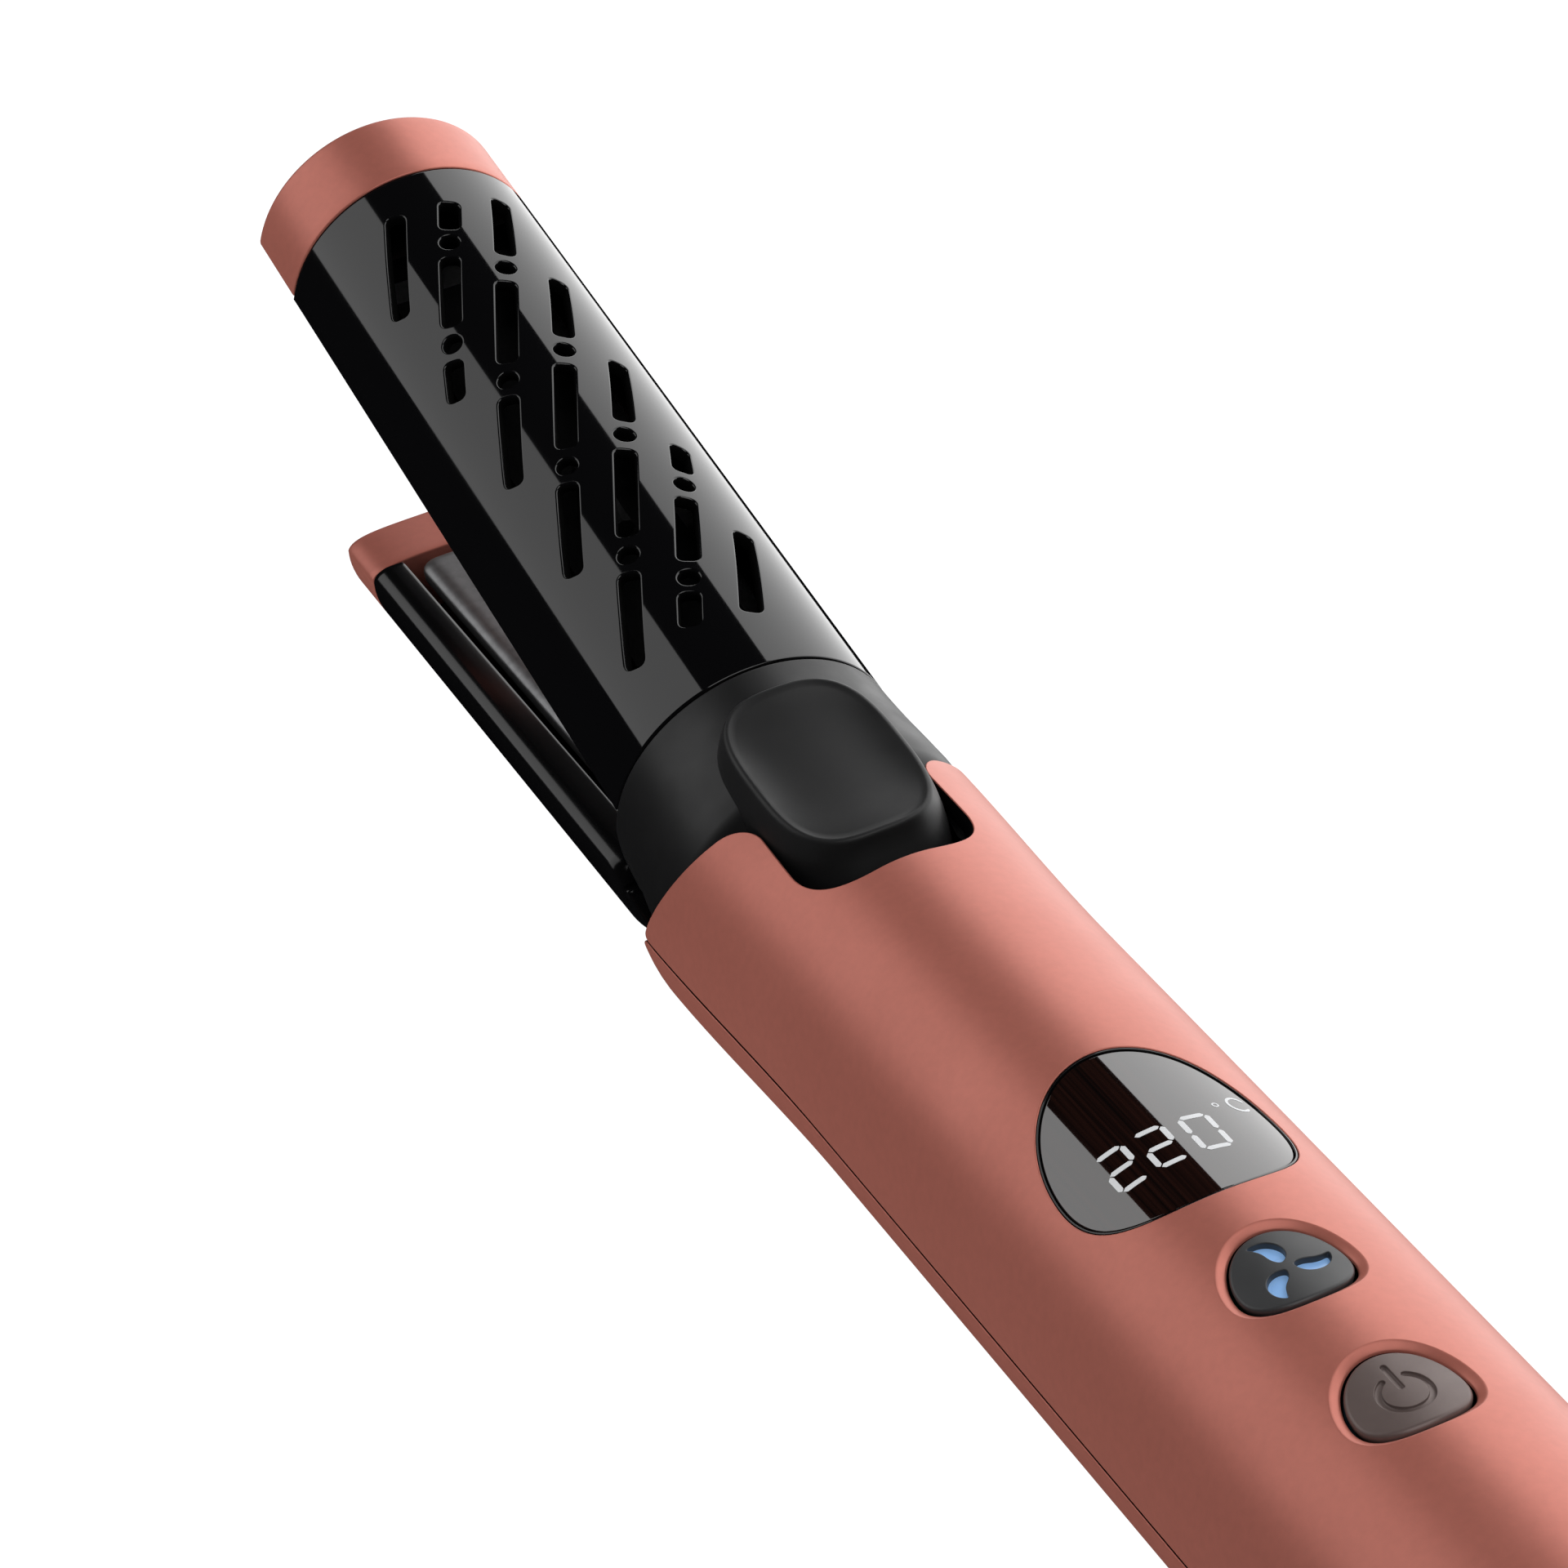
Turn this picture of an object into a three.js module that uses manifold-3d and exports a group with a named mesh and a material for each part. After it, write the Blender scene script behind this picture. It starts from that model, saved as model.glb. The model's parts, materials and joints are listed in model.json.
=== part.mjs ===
// Airflow curling iron: a round handle, a fixed lower plate arm and a hinged, vented barrel.
// Millimetres. X runs along the handle axis to the tip, Y is left, Z is up (the display side).
import * as THREE from 'three';
import { mergeVertices } from 'three/addons/utils/BufferGeometryUtils.js';
import Module from 'manifold-3d';

const wasm = await Module();
wasm.setup();

// ---- Driving dimensions -------------------------------------------------------------------
// The handle axis is the X axis here; x = 0 is where the barrel meets its collar.
const FIT_GAP = 0.3;            // clearance between neighbouring pieces
const RUN_GAP = 0.4;            // clearance round the moving collar
const HANDLE_RADIUS = 19.8;
const MOUTH_RADIUS = 20.8;      // the shells swell towards the mouth
const SHELL_WALL = 2;
const LIP_WALL = 0.9;           // the shells thin out at the mouth
const UNDERSIDE = -19.3;        // flat strip that the iron lies on
const SEAM_Z = -1.2;            // parting line between the two shells
const SHELL_END = -190;         // rear end of the shells
const TAIL_END = -214;          // rear end of the tail cap
const GLAND_END = -220;

const HINGE_X = -34;            // the hinge pin crosses the handle axis here
const OPEN_DEG = 14;            // how far the barrel stands open at rest
const BARREL_AXIS_Z = -2.2;     // barrel axis below the pin, arm closed
const COLLAR_FRONT = 34.5;      // from the pin to the front edge of the collar, arm closed
const BARREL_LENGTH = 100;
const BARREL_CAP_LENGTH = 12.2;
const BARREL_RADIUS = 18;
const BARREL_TAPER = 0.0114;    // radius lost per mm towards the tip
const BARREL_WALL = 1.6;
const BARREL_FLAT = 3;          // flat of the D section above the barrel axis
const PLATE_HALF_WIDTH = 11.3;

const ARM_ROOT = 2;             // the lower arm has its full width from here
const ARM_END = 84;
const ARM_CAP_LENGTH = 11.2;
const ARM_HALF_WIDTH = 18;
const ARM_TAPER = 0.0122;
const ARM_DEPTH_RATIO = 0.75;   // the arm's underside is a flattened half round
const ARM_WIDEST_Z = -3.2;
const ARM_FACE_Z = -0.9;        // inner face, opposite the barrel's flat
const CHANNEL = { halfWidth: 12.5, floor: -6.8, coreHalfWidth: 10, coreFloor: -13, padSeat: -8.8 };
const LOWER_PLATE = { middle: 46, length: 72.5, corner: 2.5, bottom: -2.3, top: -0.3 };
const UPPER_PLATE = { from: 42, to: 130, thickness: 2 };
const HEATER_HALF_WIDTH = 6;
const CLIP = { halfWidth: 7.6, wall: 1.3, web: 1.2 };

const DISPLAY_X = -101.7;
const DISPLAY_SIZE = { length: 27.1, width: 26.5 };
const BEZEL = { width: 0.45, opening: 0.75, ledge: -1.9 };   // measured from the lens outline
const FAN_BUTTON_X = -129.1;
const POWER_BUTTON_X = -151.6;
const BUTTON_SIZE = { length: 11.6, width: 12.8 };
const BUTTON_TRAVEL = 0.8;
const BUTTON_FLANGE = 1;
const BOARD_TOP = 9.6;
const BOARD_THICKNESS = 1.6;
const SWITCH = { half: 3, height: 1.6, stem: 1.6, top: 2.6 };

const PAD = {
  centre: 14.8, length: 28, width: 17.4, corner: 7.5, flare: 1.4, flareHeight: 4, tiltDeg: 5.8, top: 19.4,
};
const NOTCH = { halfWidth: 10.6, rear: -44.5, front: -10, corner: 6 };
const BRACKET = { rear: -46, front: -27, bottom: -9.5, halfWidth: 14.4, sheet: 1.6, foot: 2 };
const PIN = { radius: 2, halfLength: 14.8, bore: 2.3 };
const FAN = { middle: -180, rear: -186, front: -171, radius: 17.2, bore: 15.6, hub: 6, blades: 7 };
const MOTOR = { radius: 7, rear: -172, front: -154, seat: 7.3, shaft: 1 };
const FILTER = { radius: 16.4, rear: -189.4, front: -188, hole: 2, pitch: 6 };
const TAIL_SLOT = { count: 12, rear: -207, front: -194, halfWidth: 1.2 };
const GLAND = { radius: 5, flange: 7.2, bore: 2.1, opening: 5.4 };
const BOSS = { radius: 2.8, foot: 3.4, bore: 1.3, headBore: 2.4 };
const SCREW = { head: 2, headHeight: 1.5, shank: 1 };
const SCREW_PLACES = [[-64, 11], [-64, -11], [-163.6, 11], [-163.6, -11]];

const HALF_TURN = Math.PI;
const FAR = 60;                 // reaches past every surface of the section

// ---- Materials ----------------------------------------------------------------------------
function finish(color, roughness, metalness = 0) {
  return new THREE.MeshStandardMaterial({ color, roughness, metalness });
}
const ROSE = finish('#bd6f60', 0.42);
const BLACK_SATIN = finish('#1d1d1d', 0.45);
const BLACK_GLOSS = finish('#0b0b0c', 0.08);
const PLATE_COAT = finish('#101114', 0.12, 0.3);
const LENS_GLASS = finish('#0d0f10', 0.05);
const BUTTON_GREY = finish('#2f3133', 0.4);
const BUTTON_TAUPE = finish('#6f605c', 0.45);
const WINDOW_BLUE = finish('#9fc0e0', 0.3);
const STEEL = finish('#b8bcc0', 0.3, 1);
const ALUMINIUM = finish('#c9ccd0', 0.4, 1);
const CERAMIC = finish('#e9e6df', 0.6);
const SILICONE = finish('#8c8f92', 0.7);
const BOARD_GREEN = finish('#1f5a3a', 0.5);
const NATURAL_NYLON = finish('#d9d5c8', 0.55);
const FILTER_MESH = finish('#8f9396', 0.5, 0.8);

// ---- Solid helpers ------------------------------------------------------------------------
function signedVolume(position, index) {
  let total = 0;
  const [a, b, c] = [new THREE.Vector3(), new THREE.Vector3(), new THREE.Vector3()];
  for (let i = 0; i < index.length; i += 3) {
    a.fromBufferAttribute(position, index[i]);
    b.fromBufferAttribute(position, index[i + 1]);
    c.fromBufferAttribute(position, index[i + 2]);
    total += a.dot(b.cross(c)) / 6;
  }
  return total;
}

function solid(geometry) {
  geometry.deleteAttribute('normal');
  geometry.deleteAttribute('uv');
  const merged = mergeVertices(geometry, 1e-4);
  let index = [];
  for (let i = 0; i < merged.index.count; i += 3) {
    const [a, b, c] = [0, 1, 2].map((k) => merged.index.getX(i + k));
    if (a !== b && b !== c && c !== a) index.push(a, b, c);
  }
  if (signedVolume(merged.attributes.position, index) < 0) index = index.reverse();
  return new wasm.Manifold(new wasm.Mesh({
    numProp: 3,
    vertProperties: new Float32Array(merged.attributes.position.array),
    triVerts: new Uint32Array(index),
  }));
}

function geometryOf(body) {
  const { vertProperties, triVerts } = body.getMesh();
  const geometry = new THREE.BufferGeometry();
  geometry.setAttribute('position', new THREE.BufferAttribute(vertProperties, 3));
  geometry.setIndex(new THREE.BufferAttribute(triVerts, 1));
  geometry.computeVertexNormals();
  return geometry;
}

function block(x0, x1, y0, y1, z0, z1) {
  const geometry = new THREE.BoxGeometry(x1 - x0, y1 - y0, z1 - z0);
  return solid(geometry.translate((x0 + x1) / 2, (y0 + y1) / 2, (z0 + z1) / 2));
}

// Profile points are [x, radius]; the solid is turned about the line z = axisZ along X.
function turned(profile, segments = 36, axisZ = 0, depthRatio = 1) {
  const points = profile.map(([x, r]) => new THREE.Vector2(r, x));
  const ends = [new THREE.Vector2(0, profile[0][0]), new THREE.Vector2(0, profile.at(-1)[0])];
  const geometry = new THREE.LatheGeometry([ends[0], ...points, ends[1]], segments);
  return solid(geometry.rotateZ(-HALF_TURN / 2).scale(1, 1, depthRatio).translate(0, 0, axisZ));
}

const AXES = { x: new THREE.Vector3(1, 0, 0), y: new THREE.Vector3(0, 1, 0), z: new THREE.Vector3(0, 0, 1) };
const SHAPE_FRAMES = {
  x: [AXES.y, AXES.z, AXES.x],
  y: [AXES.z, AXES.x, AXES.y],
  z: [AXES.x, AXES.y, AXES.z],
};

// Extrudes a shape along an axis; the shape's own axes are the other two, in turning order.
function prism(shape, axis, from, to, curveSegments = 6) {
  const geometry = new THREE.ExtrudeGeometry(shape, { depth: to - from, bevelEnabled: false, curveSegments });
  geometry.translate(0, 0, from);
  return solid(geometry.applyMatrix4(new THREE.Matrix4().makeBasis(...SHAPE_FRAMES[axis])));
}

const polygon = (points) => new THREE.Shape(points.map(([a, b]) => new THREE.Vector2(a, b)));

// Side-view outline in [x, z], extruded across the width.
const sideCut = (points) => prism(polygon(points.map(([x, z]) => [z, x])), 'y', -FAR, FAR);

function rod(axis, radius, from, to, centre = [0, 0], segments = 9) {
  const circle = new THREE.Shape().absarc(centre[0], centre[1], radius, 0, 2 * HALF_TURN);
  return prism(circle, axis, from, to, segments);
}

const union = (solids) => solids.reduce((whole, piece) => whole.add(piece));
const cut = (whole, ...tools) => tools.reduce((left, tool) => left.subtract(tool), whole);

function turnedAboutPin(body, degrees) {
  const move = new THREE.Matrix4().makeRotationY(THREE.MathUtils.degToRad(degrees));
  return body.transform(Array.from(move.elements));
}

// ---- Outlines -----------------------------------------------------------------------------
function roundedRectangle(length, width, corner) {
  const [a, b] = [length / 2, width / 2];
  const shape = new THREE.Shape().moveTo(a - corner, -b);
  shape.absarc(a - corner, corner - b, corner, -HALF_TURN / 2, 0);
  shape.absarc(a - corner, b - corner, corner, 0, HALF_TURN / 2);
  shape.absarc(corner - a, b - corner, corner, HALF_TURN / 2, HALF_TURN);
  shape.absarc(corner - a, corner - b, corner, HALF_TURN, 1.5 * HALF_TURN);
  return shape;
}

// Plectrum outline: round towards the tip, nearly straight at the rear.
function plectrum({ length, width }, grow = 0, x = 0) {
  const [a, b] = [length / 2 + grow, width / 2 + grow];
  const shape = new THREE.Shape().moveTo(x + a, 0);
  shape.bezierCurveTo(x + a, 0.6 * b, x + 0.36 * a, b, x - 0.24 * a, b);
  shape.bezierCurveTo(x - 0.75 * a, b, x - a, 0.62 * b, x - a, 0);
  shape.bezierCurveTo(x - a, -0.62 * b, x - 0.75 * a, -b, x - 0.24 * a, -b);
  shape.bezierCurveTo(x + 0.36 * a, -b, x + a, -0.6 * b, x + a, 0);
  return shape;
}

// ---- Handle shells ------------------------------------------------------------------------
const SHELL_SEGMENTS = 44;
const SHELL_STATIONS = [SHELL_END, -55, -42, -32, -24, -17, -10, -4, 4];

function handleRadius(x) {
  const swell = THREE.MathUtils.smoothstep(x, -56, -14) * (MOUTH_RADIUS - HANDLE_RADIUS);
  const turnIn = THREE.MathUtils.smoothstep(x, -14, 4) * 3;
  return HANDLE_RADIUS + swell - turnIn;
}

const shellWall = (x) => THREE.MathUtils.lerp(SHELL_WALL, LIP_WALL, THREE.MathUtils.smoothstep(x, -34, -22));

function shellOuter(grow = 0) {
  return turned(SHELL_STATIONS.map((x) => [x, handleRadius(x) + grow]), SHELL_SEGMENTS);
}

function shellInner(shrink = 0) {
  const profile = SHELL_STATIONS.map((x) => [x, handleRadius(x) - shellWall(x) - shrink]);
  profile[0][0] -= 1;
  return turned(profile, SHELL_SEGMENTS);
}

// Region behind the slanted mouth; forward moves its edge towards the tip.
function behindMouth(forward = 0) {
  const edge = [[-25.5, FAR], [-24.2, 18], [-22, 14.7], [-12.5, 0], [-6, -8.3], [-3, -14], [-2, -FAR]];
  return sideCut([[-300, FAR], ...edge.map(([x, z]) => [x + forward, z]), [-300, -FAR]]);
}

function notchCut() {
  const length = NOTCH.front - NOTCH.rear;
  const shape = roundedRectangle(length, 2 * NOTCH.halfWidth, NOTCH.corner);
  return prism(shape, 'z', 5, FAR, 5).translate([(NOTCH.front + NOTCH.rear) / 2, 0, 0]);
}

function upperShell() {
  const above = block(-300, FAR, -FAR, FAR, SEAM_Z + FIT_GAP / 2, FAR);
  const bosses = union(SCREW_PLACES.map((place) => rod('z', BOSS.radius, SEAM_Z + 1, 16, place, 4)));
  const whole = cut(shellOuter(), shellInner()).add(bosses.intersect(shellOuter(-LIP_WALL)));
  const open = cut(
    whole.intersect(above).intersect(behindMouth()),
    notchCut(),
    prism(plectrum(DISPLAY_SIZE, BEZEL.opening, DISPLAY_X), 'z', 5, FAR, 5),
    prism(plectrum(BUTTON_SIZE, 0.4, FAN_BUTTON_X), 'z', 5, FAR, 4),
    prism(plectrum(BUTTON_SIZE, 0.4, POWER_BUTTON_X), 'z', 5, FAR, 4),
  );
  return SCREW_PLACES.reduce((left, place) => left.subtract(rod('z', BOSS.bore, -5, 8, place, 4)), open);
}

function lowerShell() {
  const band = block(-300, FAR, -FAR, FAR, UNDERSIDE, SEAM_Z - FIT_GAP / 2);
  const floor = block(-300, FAR, -FAR, FAR, UNDERSIDE + SHELL_WALL, FAR);
  const bosses = union(SCREW_PLACES.map((place) => rod('z', BOSS.foot, -FAR, SEAM_Z - 1, place, 4)));
  const ribs = union([-80, -140].map((x) => block(x, x + 1.6, -17, 17, -18.5, -8.4)));
  const inside = bosses.add(ribs).intersect(shellOuter(-1));
  const whole = cut(shellOuter(), shellInner().intersect(floor)).add(inside);
  const holes = union(SCREW_PLACES.flatMap((place) => [
    rod('z', BOSS.bore, -FAR, 0, place, 4),
    rod('z', BOSS.headBore, -FAR, -8, place, 4),
  ]));
  return cut(whole.intersect(band).intersect(behindMouth()), holes, collarPath());
}

// ---- Upper arm: built closed, with the hinge pin at the origin of its own frame --------------
const barrelRadius = (along) => BARREL_RADIUS - BARREL_TAPER * along;

// D-section bar about the barrel axis; along runs from the collar's front edge.
function barrelBar(from, to, inset, flat, segments = 36) {
  const profile = [from, to].map((along) => [COLLAR_FRONT + along, barrelRadius(along) - inset]);
  const above = block(-FAR, 200, -FAR, FAR, BARREL_AXIS_Z + flat, FAR);
  return turned(profile, segments, BARREL_AXIS_Z).intersect(above);
}

// A vent lies on a slanted line across the barrel; from and to run along that line.
const VENT = { slant: THREE.MathUtils.degToRad(24.5), width: 2.7, spacing: 17.4, middle: 51.4 };
const FULL_COLUMN = [[-27, -13.4], [-10.6, -10.6], [-7.6, 7.6], [10.6, 10.6], [13.4, 27]];
const SHORT_COLUMN = [[-27.2, -21.2], [-18.4, -18.4], [-15.5, -3.5], [-0.6, -0.6], [1.9, 7.4]];
const END_COLUMN = [[-27.4, -10.8]];
const mirrored = (column) => column.map(([from, to]) => [-to, -from]);
const VENT_COLUMNS = [
  [3, END_COLUMN], [2, SHORT_COLUMN], [1, FULL_COLUMN], [0, FULL_COLUMN],
  [-1, FULL_COLUMN], [-2, mirrored(SHORT_COLUMN)], [-3, mirrored(END_COLUMN)],
];

function ventCut(line, from, to) {
  const radius = VENT.width / 2;
  const reach = Math.max((to - from) / 2 - radius, 0.01);
  const shape = new THREE.Shape();
  shape.absarc(reach, 0, radius, -HALF_TURN / 2, HALF_TURN / 2);
  shape.absarc(-reach, 0, radius, HALF_TURN / 2, 1.5 * HALF_TURN);
  const middle = (from + to) / 2;
  const along = COLLAR_FRONT + VENT.middle + line + middle * Math.cos(VENT.slant);
  const aside = -middle * Math.sin(VENT.slant) / BARREL_RADIUS;
  const geometry = new THREE.ExtrudeGeometry(shape, { depth: 12, bevelEnabled: false, curveSegments: 2 });
  geometry.translate(0, 0, 10).rotateZ(-VENT.slant).rotateX(-aside).translate(along, 0, BARREL_AXIS_Z);
  return solid(geometry);
}

function barrelShell() {
  const outer = barrelBar(FIT_GAP / 2, BARREL_LENGTH, 0, BARREL_FLAT);
  const vents = VENT_COLUMNS.flatMap(([step, column]) => column.map(([from, to]) => (
    ventCut(step * VENT.spacing, from, to))));
  return cut(outer, barrelBar(-1, BARREL_LENGTH + 1, BARREL_WALL, 0), ...vents);
}

function barrelTipCap() {
  const [from, to] = [BARREL_LENGTH + FIT_GAP, BARREL_LENGTH + BARREL_CAP_LENGTH];
  const radius = barrelRadius(to);
  const edge = [[from, barrelRadius(from)], [to - 1, radius], [to - 0.3, radius - 0.3], [to, radius - 1]];
  const profile = edge.map(([along, r]) => [COLLAR_FRONT + along, r]);
  const above = block(-FAR, 200, -FAR, FAR, BARREL_AXIS_Z + BARREL_FLAT, FAR);
  const shell = turned(profile, 36, BARREL_AXIS_Z).intersect(above);
  const spigot = barrelBar(BARREL_LENGTH - 4, from + 1, BARREL_WALL + FIT_GAP, BARREL_FLAT + 2.6);
  return cut(shell.add(spigot), barrelBar(BARREL_LENGTH - 5, to - 2, BARREL_WALL + 2, BARREL_FLAT + 4.2));
}

function barrelBase() {
  const tray = barrelBar(0.6, BARREL_LENGTH - 0.3, BARREL_WALL + FIT_GAP, BARREL_FLAT, 32)
    .intersect(block(0, 200, -FAR, FAR, -FAR, BARREL_AXIS_Z + BARREL_FLAT + 2));
  const half = PLATE_HALF_WIDTH + FIT_GAP;
  return cut(tray, block(UPPER_PLATE.from - FIT_GAP, UPPER_PLATE.to + FIT_GAP, -half, half, -FAR, FAR));
}

// Radius of the collar's flare against the distance ahead of the pin, arm closed.
const COLLAR_FLARE = [
  [12.5, 18], [14.5, 18.8], [15.5, 19.5], [18, 19.55], [22, 19.15], [28, 18.45], [32, 18.1],
  [COLLAR_FRONT, 17.9],
];
// Lower edge of the collar's cheeks, as [ahead of the pin, height].
const CHEEK_EDGE = [[11, -3.5], [20, -6.2], [27, -8.5], [31, -8.3], [33.6, -6.3], [COLLAR_FRONT, -2]];
const COLLAR_WALL = 1.5;
const EAR = { thickness: 2.8, offset: 11 };
const EAR_OUTLINE = [[-4.2, -4.2], [-4.2, 4.2], [10, 9], [33, 9], [33, 0], [10, -4.2]];
const BEAM = { from: 17, to: 20, halfWidth: 16.5, bottom: 5, top: 13.4 };
const COLLAR_SCREWS = { x: 18.5, places: [-6, 6], bottom: 3, length: 8 };

function collarSleeve(grow = 0) {
  const [rear, front] = [COLLAR_FLARE[0], COLLAR_FLARE.at(-1)];
  const outer = [[rear[0] - grow, rear[1] + grow], ...COLLAR_FLARE.map(([x, r]) => [x, r + grow]),
    [front[0] + grow, front[1] + grow]];
  const inner = outer.map(([x, r]) => [x, r - COLLAR_WALL - 2 * grow]);
  inner[0][0] -= 1;
  inner[inner.length - 1][0] += 1;
  const edge = CHEEK_EDGE.map(([x, z]) => [x + (x > 20 ? grow : -grow), z - grow]);
  const region = sideCut([[edge[0][0], FAR], ...edge, [edge.at(-1)[0], FAR]]);
  return cut(turned(outer, 36, BARREL_AXIS_Z), turned(inner, 36, BARREL_AXIS_Z)).intersect(region);
}

const SWEEP_STEPS = [0, 0.33, 0.67, 1];

// Space swept by the collar's cheeks between open and closed, in the handle's frame.
function collarPath() {
  const sleeve = collarSleeve(RUN_GAP);
  const swept = union(SWEEP_STEPS.map((step) => turnedAboutPin(sleeve, -OPEN_DEG * step)));
  return swept.translate([HINGE_X, 0, 0]);
}

// The shells as the moving collar meets them, in the arm's frame.
function shellPath() {
  const wall = cut(shellOuter(5), shellInner(RUN_GAP)).intersect(behindMouth(RUN_GAP));
  const upper = wall.intersect(block(-300, FAR, -FAR, FAR, SEAM_Z - RUN_GAP, FAR));
  const placed = upper.translate([-HINGE_X, 0, 0]);
  return union(SWEEP_STEPS.map((step) => turnedAboutPin(placed, OPEN_DEG * step)));
}

function collar() {
  const rim = barrelBar(-4, -1.6, 1, BARREL_FLAT, 32).intersect(block(0, 60, -16.8, 16.8, -FAR, FAR));
  const spigot = barrelBar(-4, 5, BARREL_WALL + FIT_GAP, BARREL_FLAT + 2.6, 32);
  const hollow = barrelBar(-30, 6, BARREL_WALL + 1.8, BARREL_FLAT + 2.6, 32);
  const ears = union([1, -1].map((side) => {
    const [near, far] = [EAR.offset * side - EAR.thickness / 2, EAR.offset * side + EAR.thickness / 2];
    return sideCut(EAR_OUTLINE).intersect(block(-FAR, FAR, near, far, -FAR, FAR));
  }));
  const beam = block(BEAM.from, BEAM.to, -BEAM.halfWidth, BEAM.halfWidth, BEAM.bottom, BEAM.top);
  const body = cut(collarSleeve().add(rim).add(spigot), hollow).add(ears).add(beam);
  const screwHoles = union(COLLAR_SCREWS.places.map((y) => (
    rod('z', BOSS.bore, -FAR, FAR, [COLLAR_SCREWS.x, y], 4))));
  return cut(body, shellPath(), rod('y', PIN.bore, -FAR, FAR, [0, 0], 5), screwHoles, padSeat());
}

// ---- Thumb pad ----------------------------------------------------------------------------
const PAD_DISH = 1.2;           // depth of the hollow for the thumb

function padBody(grow = 0) {
  const outline = roundedRectangle(PAD.length, PAD.width, PAD.corner);
  const geometry = new THREE.ExtrudeGeometry(outline, {
    depth: 6 + 2 * grow, bevelEnabled: true, bevelThickness: PAD.flareHeight, bevelSize: PAD.flare + grow,
    bevelSegments: 2, curveSegments: 5,
  });
  geometry.translate(0, 0, -6 - PAD.flareHeight - grow);
  return solid(geometry).intersect(block(-FAR, FAR, -FAR, FAR, -PAD.flareHeight - 2.5 - grow, 5));
}

function placePad(body) {
  const tilt = new THREE.Matrix4().makeRotationY(THREE.MathUtils.degToRad(PAD.tiltDeg));
  return body.transform(Array.from(tilt.elements)).translate([PAD.centre, 0, PAD.top]);
}

const padSeat = () => placePad(padBody(FIT_GAP));

function thumbPad() {
  const dish = new THREE.SphereGeometry(60, 40, 40).rotateX(HALF_TURN / 2);
  dish.scale(1.3, 0.6, 1).translate(0, 0, 60 - PAD_DISH);
  const hollow = block(-11.5, 11.5, -6.5, 6.5, -FAR, -2.6);
  return placePad(cut(padBody(), solid(dish), hollow));
}

// ---- Lower arm ----------------------------------------------------------------------------
const armHalfWidth = (x) => ARM_HALF_WIDTH - ARM_TAPER * (x - ARM_ROOT);

function armBar(from, to, inset = 0) {
  const profile = [from, to].map((x) => [x, armHalfWidth(x) - inset]);
  const below = block(-300, 200, -FAR, FAR, -FAR, ARM_FACE_Z);
  return turned(profile, 36, ARM_WIDEST_Z, ARM_DEPTH_RATIO).intersect(below);
}

// Neck: swells from the arm's root to lie under the lower shell's front edge.
function armNeck() {
  const outer = [[-26, 18.2], [-8, 18.2], [-4, 18.6], [0, 18.1], [3, 17.9]];
  const body = turned(outer, 36).intersect(block(-300, 200, -FAR, FAR, -16.6, -2.2));
  const core = turned([[-27, 15.4], [4, 15.4]], 32).intersect(block(-300, 200, -FAR, FAR, -14, FAR));
  const cleared = cut(shellOuter(5), shellInner(FIT_GAP)).intersect(behindMouth(FIT_GAP));
  return cut(body, core, cleared, collarPath());
}

const PAD_STATIONS = [20, 70];

function lowerArmHousing() {
  const { halfWidth, floor, coreHalfWidth, coreFloor, padSeat: seat } = CHANNEL;
  const ribs = union(PAD_STATIONS.map((x) => block(x - 4, x + 4, -11, 11, coreFloor - 0.5, seat)));
  const wide = block(6, ARM_END + 1, -halfWidth, halfWidth, floor, FAR);
  const core = block(4, ARM_END + 1, -coreHalfWidth, coreHalfWidth, coreFloor, FAR);
  const arm = cut(armBar(ARM_ROOT, ARM_END), wide, cut(core, ribs));
  return arm.add(cut(armNeck(), core));
}

function lowerArmTipCap() {
  const [from, to] = [ARM_END + FIT_GAP, ARM_END + ARM_CAP_LENGTH];
  const width = armHalfWidth(to);
  const edge = [[from, armHalfWidth(from)], [to - 2, width], [to - 0.6, width - 0.7], [to, width - 2]];
  const below = block(-300, 200, -FAR, FAR, -FAR, ARM_FACE_Z);
  const shell = turned(edge, 36, ARM_WIDEST_Z, ARM_DEPTH_RATIO).intersect(below);
  const tongue = block(ARM_END - 5, from + 1, -9, 9, -12.4, -7.4);
  return cut(shell.add(tongue), block(ARM_END - 6, to - 2.4, -7, 7, -10.6, -9));
}

function lowerPlate() {
  const { middle, length, corner, bottom, top } = LOWER_PLATE;
  const shape = roundedRectangle(length, 2 * PLATE_HALF_WIDTH, corner);
  return prism(shape, 'z', bottom, top, 4).translate([middle, 0, 0]);
}

function heaterClip(x0, x1, z0, z1) {
  const inner = CLIP.halfWidth - CLIP.wall;
  const channel = block(x0 - 1, x1 + 1, -inner, inner, z0 + CLIP.web, z1 + 1);
  return cut(block(x0, x1, -CLIP.halfWidth, CLIP.halfWidth, z0, z1), channel);
}

// ---- Hinge --------------------------------------------------------------------------------
function hingeBracket() {
  const { rear, front, bottom, halfWidth, sheet, foot } = BRACKET;
  const outline = [[-38.5, bottom], [-38.5, 3], [-36, 4.5], [-32, 4.5], [-29.5, 3], [-29.5, bottom]];
  const inner = halfWidth - sheet;
  const ears = union([inner, -halfWidth].map((y) => (
    sideCut(outline).intersect(block(-FAR, FAR, y, y + sheet, -FAR, FAR)))));
  const base = block(rear, front, -inner, inner, bottom, bottom + sheet)
    .add(block(outline[0][0], outline.at(-1)[0], -halfWidth, halfWidth, bottom, bottom + sheet));
  const feet = union([-5, 5].map((y) => rod('z', foot, -16, bottom + 0.5, [rear + 3, y], 4)));
  return cut(base.add(ears).add(feet), rod('y', PIN.bore, -FAR, FAR, [0, HINGE_X], 5));
}

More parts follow.
